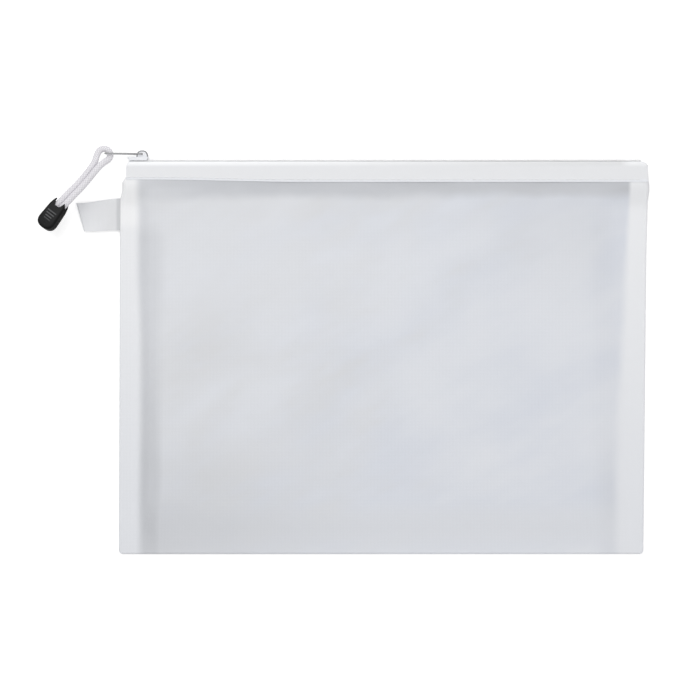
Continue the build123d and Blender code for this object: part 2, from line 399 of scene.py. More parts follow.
@dataclass(frozen=True)
class MeshCloth(Finish):
    """The fine translucent mesh of both panels, paler where seam bindings back it.

    A pair of places is where a soft edge starts and ends, and a third value is its depth. A streak
    has a length, a width and a direction. A drift, a scallop and a blotch have a size and a share.
    """

    roughness = 0.62
    specular = 0.32
    sheen = 0.12
    relief = 0.35
    depth = 0.12 * MM
    form: "WalletForm"
    plain: Colour = grey(0.770, 0.022)
    cool: Colour = grey(0.788, 0.060)
    # Painted light: the colour of the streaks, the round patches and the bottom, where the slack sheet
    # turns to the light.
    pale: Colour = grey(0.848, 0.034)
    # Painted shade: the colour of the sheet where it hangs hollow.
    shaded: Colour = grey(0.630, 0.036)
    # The binding seen through the mesh, with painted light: paler high than low, and palest in the
    # top-left corner, to offset the shade of the sheet's slope there.
    backed_high: Colour = grey(0.925, 0.016)
    backed_low: Colour = grey(0.862, 0.030)
    backed_corner_lit: Colour = grey(0.975, 0.008)
    pitch: float = 0.9 * MM
    opacity: float = 0.90
    # Streaks of painted light; the finer ones also set the bluish tint.
    streak: Triple = (85.0 * MM, 46.0 * MM, math.radians(32.0))
    fine_streak: Triple = (40.0 * MM, 15.0 * MM, math.radians(24.0))
    fine_share: float = 0.3
    streak_range: Flat = (0.32, 0.70)
    streak_depth: float = 0.84
    drift: Flat = (60.0 * MM, 6.0 * MM)
    scallop: Flat = (17.0 * MM, 4.0 * MM)
    blotch: Flat = (26.0 * MM, 0.72)
    tint_reach: float = 420.0 * MM
    cool_range: Flat = (-150.0 * MM, 80.0 * MM)
    # Painted shade below the tape and beside the left binding.
    below_tape: Flat = (14.5 * MM, 6.0 * MM)
    below_fade: Flat = (-165.0 * MM, -85.0 * MM)
    below_least: float = 0.45
    gutter: Flat = (31.0 * MM, 20.5 * MM)
    gutter_high: Triple = (92.0 * MM, 74.0 * MM, 0.38)
    gutter_low: Triple = (20.0 * MM, -70.0 * MM, 0.40)
    gutter_least: float = 0.04
    # Round patches of painted light.
    light_pools: tuple[PaintedLightPool, ...] = (
        PaintedLightPool(-82.0 * MM, 58.0 * MM, 62.0 * MM, 0.62),
        PaintedLightPool(8.0 * MM, 38.0 * MM, 46.0 * MM, 0.40),
        PaintedLightPool(-75.0 * MM, -60.0 * MM, 46.0 * MM, 0.34),
    )
    # Zones of painted shade: low on the left, high and low on the right.
    painted_shade_zones: tuple[Zone, ...] = (
        Zone((10.0 * MM, -150.0 * MM), (0.0, -125.0 * MM), 0.45),
        Zone((30.0 * MM, 120.0 * MM), (10.0 * MM, 90.0 * MM), 0.25, (150.0 * MM, 132.0 * MM)),
        Zone((132.0 * MM, 146.0 * MM), (-30.0 * MM, -90.0 * MM), 0.20),
    )
    # Painted light along the bottom, less at the very edge.
    bottom: Triple = (-84.0 * MM, -104.0 * MM, 0.80)
    bottom_edge: Triple = (-112.0 * MM, -122.0 * MM, 0.22)
    backed_range: Flat = (-125.0 * MM, 115.0 * MM)
    corner: Zone = Zone((0.0, -100.0 * MM), (79.0 * MM, 88.0 * MM), 1.0)
    left_band: Flat = (5.5 * MM, -1.0 * MM)
    left_high: Triple = (10.0 * MM, 60.0 * MM, 2.2 * MM)
    left_low: Triple = (-40.0 * MM, -90.0 * MM, 1.0 * MM)
    right_spread: Triple = (110.0 * MM, -60.0 * MM, 7.0 * MM)
    right_soft: Triple = (110.0 * MM, 30.0 * MM, 2.4 * MM)
    right_least: float = 1.6 * MM

    def shade(self, g: Graph, drift: Field) -> Field:
        """Where shade is painted on the sheet: below the tape, beside the left binding and in zones
        where it hangs hollow.

        Args:
            g: The material's nodes.
            drift: A slow wander that keeps the zones from looking ruled.

        Returns:
            The share of painted shade, from 0 to 1.
        """
        size, reach = self.scallop
        up = g.y + drift + (g.noise(size, 2.0) - 0.5) * reach
        start, end = (self.form.tape_low - below for below in self.below_tape)
        fade = g.x.step(*self.below_fade) * (1.0 - self.below_least) + self.below_least
        deepest = up.step(start, end) * fade
        start, end = (inward - self.form.half_width for inward in self.gutter)
        gutter_shade = self.rising(g, self.gutter_high) + self.rising(g, self.gutter_low) + self.gutter_least
        deepest = deepest.most((g.x + drift).step(start, end) * gutter_shade)
        for hollow in self.painted_shade_zones:
            deepest = deepest.most(hollow.over(g))
        size, least = self.blotch
        return deepest * (g.noise(size) * 0.5 + least)

    def rising(self, g: Graph, zone: Triple) -> Field:
        """A depth that sets in softly between two heights of the sheet."""
        return g.y.step(zone[0], zone[1]) * zone[2]

    def band(self, g: Graph, drift: Field) -> Field:
        """Where a seam binding backs the sheet.

        Args:
            g: The material's nodes.
            drift: A slow wander for the soft edge on the right.

        Returns:
            The share of backing, from 0 to 1.
        """
        inner = self.form.half_width - self.form.band
        narrowed = self.rising(g, self.left_high) + self.rising(g, self.left_low)
        start, end = (reach - inner for reach in self.left_band)
        on_left = (g.x + narrowed).step(start, end)
        from_right = g.x + drift + self.rising(g, self.right_spread)
        softness = self.rising(g, self.right_soft) + self.right_least
        return on_left.most(((from_right - inner) / softness).step(-1.0, 1.0))

    def lightness(self, g: Graph, fine: Field) -> Field:
        """Where light is painted on the sheet: in streaks, in round patches and along the bottom.

        Args:
            g: The material's nodes.
            fine: The finer streaks.

        Returns:
            The share of light, from 0 to 1.
        """
        drawn = g.drawn_noise(*self.streak) * (1.0 - self.fine_share) + fine * self.fine_share
        light = drawn.step(*self.streak_range) * self.streak_depth
        for pool in self.light_pools:
            light = light + pool.over(g) * (1.0 - light)
        start, end, depth = self.bottom
        return light.most(g.y.step(start, end) * (depth - self.rising(g, self.bottom_edge)))

    def paint(self, g: Graph) -> tuple[Field, Field]:
        """The mesh's colours and weave, with its slight transparency.

        Args:
            g: The material's nodes.

        Returns:
            The colour and the grain's height.
        """
        size, reach = self.drift
        drift = (g.noise(size, 1.0) - 0.5) * reach
        fine = g.drawn_noise(*self.fine_streak)
        coolness = g.x - g.y * 0.5 + (fine - 0.5) * self.tint_reach
        hue = g.mix(coolness.step(*self.cool_range), self.plain, self.cool)
        # Painted light mixed into the colour.
        colour = g.mix(self.lightness(g, fine), hue, self.pale)
        # Painted shade mixed into the colour.
        colour = g.mix(self.shade(g, drift), colour, self.shaded)
        # The binding behind the mesh, with its painted light.
        backed = g.mix(g.y.step(*self.backed_range), self.backed_low, self.backed_high)
        backed = g.mix(self.corner.over(g), backed, self.backed_corner_lit)
        colour = g.mix(self.band(g, drift), colour, backed)
        g.set(Alpha=self.opacity)
        return colour, g.threads(g.x, self.pitch) * g.threads(g.y, self.pitch)


@dataclass(frozen=True)
class WovenTape(Finish):
    """A close woven tape with a twill line, and painted light along the crest of its bend: a highlight
    to the left, shade to the right.
    """

    roughness = 0.72
    specular = 0.25
    sheen = 0.15
    relief = 0.4
    depth = 0.10 * MM
    colour: Colour
    low: Colour
    crest_y: float
    # Painted light along the bend's crest: a highlight to the left, shade to the right, and a highlight
    # at the zip's right end.
    crest_highlight: Colour = grey(0.965, 0.014)
    crest_shade: Colour = grey(0.77, 0.014)
    crest_end_highlight: Colour = grey(0.91, 0.014)
    crest_run: Flat = (-160.0 * MM, 160.0 * MM)
    crest_last: Flat = (150.0 * MM, 158.0 * MM)
    crest_below: Flat = (4.0 * MM, 1.5 * MM)
    hem: Colour = grey(0.88, 0.030)
    hem_width: float = 2.0 * MM
    hem_full: float = 0.6
    hem_y: float = NO_HEM
    hem_rise: float = 1.5 * MM
    hem_run: Flat = (-50.0 * MM, -150.0 * MM)
    blotch: float = 9.0 * MM
    pitch: float = 0.7 * MM

    def paint(self, g: Graph) -> tuple[Field, Field]:
        """The tape's colours, with painted light along its crest, its hem, and its twill.

        Args:
            g: The material's nodes.

        Returns:
            The colour and the grain's height.
        """
        colour = g.mix(g.noise(self.blotch) * 0.5, self.colour, self.low)
        # Painted light on the crest, from highlight on the left to shade on the right, with a highlight
        # at the end.
        crest = g.mix(g.x.step(*self.crest_run), self.crest_highlight, self.crest_shade)
        crest = g.mix(g.x.step(*self.crest_last), crest, self.crest_end_highlight)
        start, end = (self.crest_y - below for below in self.crest_below)
        colour = g.mix(g.y.step(start, end), colour, crest)
        from_hem = g.y - g.x.step(*self.hem_run) * self.hem_rise - self.hem_y
        colour = g.mix(from_hem.step(self.hem_width, self.hem_full * self.hem_width), colour, self.hem)
        return colour, g.threads(g.x + g.y * 0.5, self.pitch) * g.threads(g.y, self.pitch)


@dataclass(frozen=True)
class RibbedRibbon(Finish):
    """A grosgrain ribbon: fine ribs across it, painted light on its end and a painted shadow line at the
    seam.
    """

    roughness = 0.6
    specular = 0.3
    sheen = 0.15
    relief = 0.4
    depth = 0.12 * MM
    colour: Colour = grey(0.790, 0.016)
    low: Colour = grey(0.720, 0.016)
    # Painted light on the ribbon's end, which offsets the pull's cast shadow.
    end: Colour = grey(0.835, 0.020)
    # A painted shadow line where the ribbon meets the wallet's edge.
    edge_shadow: Colour = grey(0.60, 0.020)
    end_run: Flat = (-172.0 * MM, -192.0 * MM)
    edge_shadow_run: Flat = (-171.2 * MM, -169.2 * MM)
    blotch: float = 12.0 * MM
    rib: float = 0.8 * MM

    def paint(self, g: Graph) -> tuple[Field, Field]:
        """The ribbon's colours and ribs.

        Args:
            g: The material's nodes.

        Returns:
            The colour and the grain's height.
        """
        colour = g.mix(g.noise(self.blotch), self.colour, self.low)
        # Painted light on the end and a painted shadow line at the seam.
        colour = g.mix(g.x.step(*self.end_run), colour, self.end)
        return g.mix(g.x.step(*self.edge_shadow_run), colour, self.edge_shadow), g.threads(g.x, self.rib)


@dataclass(frozen=True)
class GrooveShadedCord(Finish):
    """Braided or twisted yarn with painted shade in its grooves, whose depth is stored on the mesh."""

    roughness = 0.7
    specular = 0.3
    sheen = 0.2
    depth = 0.05 * MM
    colour: Colour = (0.955, 0.945, 0.975, 1.0)
    # Painted shade in the grooves between the strands.
    groove: Colour = (0.58, 0.565, 0.60, 1.0)
    fleck: float = 1.6 * MM
    fleck_depth: float = 0.25
    fuzz: float = 0.35 * MM

    def paint(self, g: Graph) -> tuple[Field, Field]:
        """The yarn's colour, with painted shade in its grooves, and its fuzz."""
        share = g.stored() - g.noise(self.fleck) * self.fleck_depth
        return g.mix(share, self.groove, self.colour), g.noise(self.fuzz)


@dataclass(frozen=True)
class HighlitPlastic(Finish):
    """Black moulded plastic, with a painted grey highlight and sheen whose share is stored on the mesh.
    """

    roughness = 0.5
    specular = 0.10
    colour: Colour = grey(0.003)
    # Painted highlight on the ribs and painted sheen on the top face.
    painted_shading: Colour = grey(0.105, 0.02)
    fleck: float = 0.9 * MM
    fleck_depth: float = 0.12
    grain: float = 0.3 * MM

    def paint(self, g: Graph) -> tuple[Field, Field]:
        """The plastic's colours and grain."""
        share = (g.stored() + (g.noise(self.fleck) - 0.5) * self.fleck_depth).most(0.0)
        return g.mix(share, self.colour, self.painted_shading), g.noise(self.grain)


@dataclass(frozen=True)
class HardFinish(Finish):
    """Nylon, thread or lacquered metal, with a slight uneven grain."""

    relief = 0.25
    roughness: float
    colour: Colour
    second_tone: Colour
    metallic: float = 0.0
    blotch: float = 4.0 * MM
    grain: float = 0.5 * MM

    def paint(self, g: Graph) -> tuple[Field, Field]:
        """The finish's colours and grain, with its share of metal."""
        g.set(Metallic=self.metallic)
        return g.mix(g.noise(self.blotch), self.colour, self.second_tone), g.noise(self.grain)


ZIP_GREYS = (grey(0.830, 0.016), grey(0.792, 0.016))
BINDING_GREYS = (grey(0.84, 0.008), grey(0.79, 0.008))
NYLON = HardFinish("coil_nylon", 0.45, grey(0.94), grey(0.90))
THREAD = HardFinish("stitch_thread", 0.7, grey(0.86, 0.01), grey(0.82, 0.01))


def dress(piece: Piece, finish: Material, slot: str) -> None:
    """Gives a piece one material.

    Args:
        piece: The piece.
        finish: Its material.
        slot: The record's slot; not used.
    """
    piece.data.materials.clear()
    piece.data.materials.append(finish)


def settle(piece: Piece, finish: Material, slot: str, node: str, body: str) -> Piece:
    """Dresses a piece, fixes it to a body and lets it stand in for a solid.

    Args:
        piece: The piece.
        finish: Its material.
        slot: The record's slot.
        node: The solid that it replaces.
        body: The body that it rides on.

    Returns:
        The piece.
    """
    dress(piece, finish, slot)
    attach(piece, body)
    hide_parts(node)
    return piece


def new_piece(name: str, points: Sequence[Vector], faces: Sequence[Sequence[int]]) -> Piece:
    """Makes a smooth mesh object whose sharp edges stay sharp.

    Args:
        name: The piece's name.
        points: Its vertices in the row frame.
        faces: Its faces as vertex numbers.

    Returns:
        The new object, linked to the scene.
    """
    mesh = bpy.data.meshes.new(name)
    mesh.from_pydata([tuple(p) for p in points], [], faces)
    mesh.validate()
    mesh.shade_smooth()
    mesh.set_sharp_from_angle(angle=SHARP_ANGLE)
    piece = bpy.data.objects.new(name, mesh)
    bpy.context.scene.collection.objects.link(piece)
    return piece


def face_out(piece: Piece) -> Piece:
    """Turns all faces of a closed piece outward.

    Args:
        piece: The piece.

    Returns:
        The piece.
    """
    work = bmesh.new()
    work.from_mesh(piece.data)
    bmesh.ops.recalc_face_normals(work, faces=work.faces)
    work.to_mesh(piece.data)
    work.free()
    return piece


def flat_grid(rows: Sequence[Sequence[Flat]]) -> FlatMesh:
    """A flat mesh from rows of places.

    Args:
        rows: The rows, all of the same count.

    Returns:
        The mesh, which the caller frees.
    """
    flat = bmesh.new()
    lines = [[flat.verts.new((x, y, 0.0)) for x, y in row] for row in rows]
    for low, high in zip(lines, lines[1:]):
        for k in range(len(low) - 1):
            flat.faces.new((low[k], low[k + 1], high[k + 1], high[k]))
    return flat


def split_flat(flat: FlatMesh, point: Flat, toward: Flat, clear: bool) -> None:
    """Splits a flat mesh along a line.

    Args:
        flat: The flat mesh.
        point: A point on the line.
        toward: The direction across the line.
        clear: Whether the side that the direction points away from is cleared.
    """
    geometry = [*flat.verts, *flat.edges, *flat.faces]
    plane = {"plane_co": (*point, 0.0), "plane_no": (*toward, 0.0)}
    bmesh.ops.bisect_plane(flat, geom=geometry, **plane, clear_inner=clear, dist=CUT_SNAP)


def cut_out(flat: FlatMesh, lines: Sequence[Line]) -> None:
    """Cuts the room inside several lines out of a flat mesh.

    Args:
        flat: The flat mesh.
        lines: Each a point and the direction away from the room.
    """
    for point, away in lines:
        split_flat(flat, point, away, clear=False)
    inside = []
    for cell in flat.faces:
        middle = cell.calc_center_median()
        if all((middle.x - p[0]) * a[0] + (middle.y - p[1]) * a[1] < 0.0 for p, a in lines):
            inside.append(cell)
    bmesh.ops.delete(flat, geom=inside, context="FACES")


def thick_sheet(name: str, flat: FlatMesh, place: Place, thickness: float) -> Piece:
    """Closes a flat mesh into a sheet with an outer face, an inner face and a rim.

    Args:
        name: The piece's name.
        flat: The flat mesh, which is freed.
        place: Gives the outer point and its outward normal for a flat place.
        thickness: How far the inner face lies inside the outer one.

    Returns:
        The sheet's object.
    """
    flat.verts.index_update()
    outer, inner = [], []
    for vertex in flat.verts:
        point, normal = place(vertex.co.x, vertex.co.y)
        outer.append(point)
        inner.append(point - normal * thickness)
    count = len(outer)
    faces = [[v.index for v in face.verts] for face in flat.faces]
    faces += [[v.index + count for v in reversed(face.verts)] for face in flat.faces]
    for edge in flat.edges:
        if edge.is_boundary:
            loop = edge.link_loops[0]
            a, b = loop.vert.index, loop.link_loop_next.vert.index
            faces.append([b, a, a + count, b + count])
    flat.free()
    return face_out(new_piece(name, outer + inner, faces))


def carried_frames(points: Sequence[Vector]) -> Iterator[Frame]:
    """Walks along a line with a cross frame that doesn't twist.

    Args:
        points: The line's points.

    Returns:
        Each point with two directions across the line.
    """
    tangents = []
    for k in range(len(points)):
        ahead = points[min(k + 1, len(points) - 1)]
        behind = points[max(k - 1, 0)]
        tangents.append((ahead - behind).normalized())
    side = tangents[0].orthogonal().normalized()
    for point, tangent in zip(points, tangents):
        side = (side - tangent * side.dot(tangent)).normalized()
        yield point, side, tangent.cross(side)


def level_frames(points: Sequence[Vector]) -> Iterator[Frame]:
    """Walks along a line with a cross frame whose first direction stays level.

    Args:
        points: The line's points.

    Returns:
        Each point with two directions across the line.
    """
    for point, side, other in carried_frames(points):
        tangent = side.cross(other)
        level = tangent.cross(UP).normalized()
        yield point, level, level.cross(tangent)


def loft(points: list[Vector], sides: int) -> Shape:
    """A closed skin over rings of points, with both ends capped.

    Args:
        points: The points, ring after ring.
        sides: How many points each ring has.

    Returns:
        The vertices and the faces.
    """
    faces = []
    last = len(points) - sides
    for start in range(0, last, sides):
        for side in range(sides):
            a, b = start + side, start + (side + 1) % sides
            faces.append((a, b, b + sides, a + sides))
    faces.append(tuple(reversed(range(sides))))
    faces.append(tuple(range(last, last + sides)))
    return points, faces


def tube(frames: Iterable[Frame], radius: Callable[[int, float], float], sides: int) -> Shape:
    """A closed tube along a line.

    Args:
        frames: The line's points with their cross frames.
        radius: Gives the radius for a ring's number and an angle.
        sides: How many sides the tube has.

    Returns:
        The vertices and the faces.
    """
    made = []
    for ring, (centre, across, up) in enumerate(frames):
        for side in range(sides):
            angle = 2.0 * math.pi * side / sides
            reach = radius(ring, angle)
            made.append(centre + (across * math.cos(angle) + up * math.sin(angle)) * reach)
    return loft(made, sides)


def rod(points: Sequence[Vector], radius: float, sides: int) -> Shape:
    """A tube of one radius along a line."""
    return tube(carried_frames(points), lambda ring, angle: radius, sides)


def joined(parts: Sequence[Shape]) -> Shape:
    """Several shapes as one.

    Args:
        parts: The shapes.

    Returns:
        All their vertices and faces.
    """
    points, faces = [], []
    for made, cells in parts:
        start = len(points)
        points += made
        faces += [tuple(k + start for k in cell) for cell in cells]
    return points, faces


def cloth_area(piece: Piece) -> float:
    """The area of a closed sheet, counted on one of its two faces."""
    return sum(f.area for f in piece.data.polygons) / 2.0


def declare_sheet(piece: Piece) -> None:
    """Works out the area of a closed sheet of cloth on one face, which is not used.

    Args:
        piece: The sheet.
    """
    area = cloth_area(piece)


def store_shading(piece: Piece, heights: Sequence[float]) -> None:
    """Keeps a share for each point, for its finish: a yarn's height for its painted groove shade, or the
    cap's painted highlight and sheen.
    """
    attribute = piece.data.attributes.new(STRAND, "FLOAT", "POINT")
    attribute.data.foreach_set("value", heights)


@dataclass(frozen=True)
class WalletForm:
    """The shape of the wallet's two faces, and where the front is cut into spans.

    A draw is how far an edge moves in or out, the height where it starts and its run. A wave has a
    direction, a run and a start, and its depth in millimetres. A scallop has a depth, a run and a start.
    """

    face_gap: ClassVar[float] = 0.1 * MM
    half_width: float
    fold_top: float
    panel_top: float
    zip_y: float
    rim_z: float
    face_z: float
    mid_z: float
    sheet: float
    band: float
    tape_low: float
    seam_z: float = 1.0 * MM
    left_slope: float = 10.0 * MM
    right_slope: float = 26.0 * MM
    bottom_slope: float = 32.0 * MM
    bar_below: float = 19.0 * MM
    bar_run: float = 18.7 * MM
    curl: float = 1.0 * MM
    bar_curl: float = 2.4 * MM
    corner: float = 2.6 * MM
    valley: float = 0.5 * MM
    valley_below: float = 4.5 * MM
    valley_half: float = 3.2 * MM
    free_run: float = 8.0 * MM
    left_lean: float = 0.0031
    left_out: float = -0.5 * MM
    left_out_y: float = 100.0 * MM
    left_draws: tuple[Triple, ...] = (
        (1.4 * MM, 100.0 * MM, 8.0 * MM),
        (2.8 * MM, 112.0 * MM, 4.0 * MM),
    )
    right_lean: float = 0.0100
    right_draw: Triple = (0.5 * MM, 60.0 * MM, 40.0 * MM)
    bulge: Triple = (1.1 * MM, 108.0 * MM, 6.0 * MM)
    waves: tuple[tuple[float, float, float, float], ...] = (
        (0.80, 0.60, 11.0 * MM, 0.4),
        (0.55, -0.83, 17.0 * MM, 1.9),
        (0.97, 0.20, 23.0 * MM, 3.1),
        (0.30, 0.95, 8.0 * MM, 0.8),
    )
    ripple_depths: tuple[float, ...] = (0.07, 0.10, 0.12, 0.04)
    scallops: tuple[Triple, ...] = ((0.35, 13.0 * MM, 0.0), (0.25, 5.3 * MM, 1.0))
    probe: float = 0.05 * MM
    back_step: float = 0.5 * MM
    back_step_run: Flat = (2.2 * MM, 2.0 * MM)
    back_gap: float = 0.02 * MM
    tape_over: float = 1.0 * MM
    tape_rise: float = 1.5 * MM
    tape_run: float = 100.0 * MM
    peak_x: float = -50.0 * MM
    fixed_left: float = -158.0 * MM
    fixed_right: float = 60.0 * MM
    fixed_bottom: float = -119.0 * MM

    @classmethod
    def from_frame(cls) -> "WalletForm":
        """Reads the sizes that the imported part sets.

        Returns:
            The wallet's form.
        """
        low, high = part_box("front_panel")
        tape_low, tape_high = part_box("front_zip_tape")
        binding_low, binding_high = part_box("left_seam_binding")
        sheet = binding_low.z
        return cls(
            half_width=high.x,
            fold_top=low.y,
            panel_top=high.y,
            zip_y=tape_high.y,
            rim_z=low.z + sheet,
            face_z=high.z - cls.face_gap,
            mid_z=(tape_high.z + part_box("back_zip_tape")[0].z) / 2.0,
            sheet=sheet,
            band=binding_high.x - binding_low.x,
            tape_low=tape_low.y,
        )

    def round_off(self, y: float) -> float:
        """How far the bottom corners draw the side edges in."""
        return drawn_in(self.corner, y - (self.fold_top - self.seam_z))

    def left_edge(self, y: float) -> float:
        """The left side edge, which leans a little and draws in beside the end of the zip.

        Args:
            y: Place up the wallet.

        Returns:
            The edge's place along the zip.
        """
        lean = self.left_out - self.left_lean * (self.left_out_y - y)
        drawn = sum(reach * ease((y - start) / run) for reach, start, run in self.left_draws)
        return -self.half_width + lean + drawn + self.round_off(y)

    def right_edge(self, y: float) -> float:
        """The right side edge, which leans, with a small bulge below the zip's end.

        Args:
            y: Place up the wallet.

        Returns:
            The edge's place along the zip.
        """
        reach, start, run = self.right_draw
        lean = self.right_lean * y + reach * ease((y - start) / run)
        reach, middle, half = self.bulge
        return self.half_width + lean + reach * bell((y - middle) / half) - self.round_off(y)

    def tape_edge(self, x: float) -> float:
        """The zip tape's lower edge, which rises a little towards the slider."""
        rise = self.tape_rise * ease((self.peak_x - x) / self.tape_run)
        return self.tape_low - self.tape_over + rise

    def ripple(self, x: float, y: float) -> float:
        """The slack of the front panel, as long shallow waves, of which the last rides on the second.

        Args:
            x: Place along the zip.
            y: Place up the wallet.

        Returns:
            The height that the waves add.
        """
        waves = [math.sin((u * x + v * y) / run + start) for u, v, run, start in self.waves]
        waves[-1] *= waves[1]
        return sum(depth * wave for depth, wave in zip(self.ripple_depths, waves)) * MM

    def scallop(self, x: float) -> float:
        """How much deeper or shallower the valley below the zip is along its length."""
        return 1.0 + sum(depth * math.sin(x / run + start) for depth, run, start in self.scallops)

    def front_z(self, x: float, y: float) -> float:
        """The height of the front panel's outer face.

        Args:
            x: Place along the zip.
            y: Place up the wallet.

        Returns:
            The height over the floor.
        """
        from_left = max(x - self.left_edge(y), 0.0)
        from_right = max(self.right_edge(y) - x, 0.0)
        sides = ease((from_left - self.band) / self.left_slope)
        sides *= ease((from_right - self.band) / self.right_slope)
        rise = sides * ease((y - self.fold_top - self.seam_z) / self.bottom_slope)
        bar = ease((y - self.tape_low + self.bar_below) / self.bar_run)
        z = between(self.rim_z, self.face_z, 1.0 - (1.0 - rise) * (1.0 - bar))
        z += self.ripple(x, y) * rise * ease((self.tape_low - y) / self.free_run)
        dip = bell((y - self.tape_low + self.valley_below) / self.valley_half) * sides
        z -= self.valley * self.scallop(x) * dip
        near = min(from_left, from_right) / between(self.curl, self.bar_curl, bar)
        return between(self.seam_z, z, quarter_round(near)) if near < 1.0 else z

    def back_z(self, x: float, y: float) -> float:
        """The height of the back panel's outer face, which lies on the floor.

        Args:
            x: Place along the zip.
            y: Place up the wallet.

        Returns:
            The height over the floor.
        """
        near = min(x - self.left_edge(y), self.right_edge(y) - x) / self.curl
        curl = self.seam_z * (1.0 - quarter_round(max(near, 0.0))) if near < 1.0 else 0.0
        below, run = self.back_step_run
        step = self.back_step * ease((y - self.tape_low + below) / run)
        return max(curl, step) + self.back_gap

    def front_place(self, x: float, y: float) -> Placed:
        """A point of the front panel and its outward normal."""
        return self.surface_place(self.front_z, x, y, 1.0)

    def back_place(self, x: float, y: float) -> Placed:
        """A point of the back panel and its outward normal."""
        return self.surface_place(self.back_z, x, y, -1.0)

    def surface_place(self, height: Height, x: float, y: float, out: float) -> Placed:
        """A point of a height field and its normal.

        Args:
            height: The height over a flat place.
            x: Place along the zip.
            y: Place up the wallet.
            out: 1 for a face that looks up and -1 for one that looks down.

        Returns:
            The point and the outward normal.
        """
        step = self.probe
        left = max(x - step, self.left_edge(y))
        right = min(x + step, self.right_edge(y))
        slope_x = (height(right, y) - height(left, y)) / max(right - left, LEAST)
        slope_y = (height(x, y + step) - height(x, y - step)) / (2.0 * step)
        normal = Vector((-slope_x, -slope_y, 1.0)).normalized() * out
        return Vector((x, y, height(x, y))), normal

    def lift(self, piece: Piece, span: Span) -> None:
        """Bakes a piece of the front into place; the sewn edge and the peak of its span are picked but
        not used.

        Args:
            piece: The piece.
            span: The stretch of the front that it belongs to.
        """
        starts = {
            Span.LEFT: ((self.fixed_left, 0.0, 0.0), (self.peak_x, 0.0, 0.0)),
            Span.RIGHT: ((self.fixed_right, 0.0, 0.0), (self.peak_x, 0.0, 0.0)),
            Span.BOTTOM: ((0.0, self.fixed_bottom, 0.0), (0.0, self.tape_low, 0.0)),
        }
        start, end = starts[span]
        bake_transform(piece)
        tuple(start)
        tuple(end)


@dataclass
class MeshSheet:
    """The one folded sheet of mesh: front panel, fold and back panel."""

    form: WalletForm
    step: float = 3.2 * MM
    edge_steps: tuple[float, ...] = (
        *(0.0, 0.1, 0.3, 0.6, 1.0, 1.7, 2.6, 4.5, 7.0),
        *(9.5, 11.0, 12.5, 14.0, 16.0, 18.5, 21.0, 24.0, 27.0),
    )
    fold_edge_steps: int = 8
    fold_sides: int = 10
    fold_gap: float = 0.01 * MM

    def flat(self) -> FlatMesh:
        """The sheet's outline as a flat grid, close at the edges.

        Returns:
            The grid.
        """
        form = self.form
        edges = [e * MM for e in self.edge_steps]
        width = 2.0 * form.half_width
        shares = [d / width for d in spaced(width, edges, self.step)]
        rows = []
        for up in spaced(form.panel_top - form.fold_top, edges, self.step):
            y = form.fold_top + up
            left, right = form.left_edge(y), form.right_edge(y)
            rows.append([(between(left, right, s), y) for s in shares])
        return flat_grid(rows)

    def front_pieces(self) -> dict[Span, Piece]:
        """The front panel in three spans.

        Returns:
            Each span's piece.
        """
        form = self.form
        peak = (form.peak_x, form.tape_low)
        tall = form.tape_low - form.fixed_bottom
        left_up = (-tall, form.peak_x - form.fixed_left)
        right_up = (tall, form.fixed_right - form.peak_x)
        cuts = {
            Span.LEFT: [left_up, (-1.0, 0.0)],
            Span.RIGHT: [right_up, (1.0, 0.0)],
            Span.BOTTOM: [tuple(-c for c in left_up), tuple(-c for c in right_up)],
        }
        pieces = {}
        for span, sides in cuts.items():
            flat = self.flat()
            for toward in sides:
                split_flat(flat, peak, toward, clear=True)
            pieces[span] = thick_sheet(f"front_panel_{span.value}", flat, form.front_place, form.sheet)
        return pieces

    def back_piece(self) -> Piece:
        """The back panel."""
        return thick_sheet("back_panel_cloth", self.flat(), self.form.back_place, self.form.sheet)

    def fold_piece(self) -> Piece:
        """The half-round fold along the bottom.

        Returns:
            The fold's piece.
        """
        form = self.form
        y = form.fold_top
        left, right = form.left_edge(y), form.right_edge(y)
        edges = [e * MM for e in self.edge_steps[: self.fold_edge_steps]]
        columns = spaced(right - left, edges, self.step)
        angles = [math.pi * k / self.fold_sides for k in range(self.fold_sides + 1)]

        def place(x: float, angle: float) -> Placed:
            """A point of the fold's outer face and its outward normal.

            Args:
                x: Place along the fold's straight top edge.
                angle: How far round the fold.

            Returns:
                The point and the normal.
            """
            normal = Vector((0.0, -math.sin(angle), -math.cos(angle)))
            at_y = y - form.seam_z * math.sin(angle)
            share = (x - left) / (right - left)
            across = between(form.left_edge(at_y), form.right_edge(at_y), share)
            return Vector((across, y, form.seam_z)) + normal * (form.seam_z - self.fold_gap), normal

        flat = flat_grid([[(left + c, a) for c in columns] for a in angles])
        return thick_sheet("bottom_fold_cloth", flat, place, form.sheet)

    def build(self) -> list[Piece]:
        """Returns:
            The pieces, front first.
        """
        front = MeshCloth("mesh_cloth_front", self.form).make()
        back = MeshCloth("mesh_cloth_back", self.form).make()
        pieces = []
        for span, piece in self.front_pieces().items():
            dress(piece, front, "mesh_sheet")
            self.form.lift(piece, span)
            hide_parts("front_panel")
            declare_sheet(piece)
            pieces.append(piece)
        panel = settle(self.back_piece(), back, "mesh_sheet", "back_panel", "pouch")
        declare_sheet(panel)
        return [*pieces, panel, settle(self.fold_piece(), back, "mesh_sheet", "bottom_fold", "pouch")]


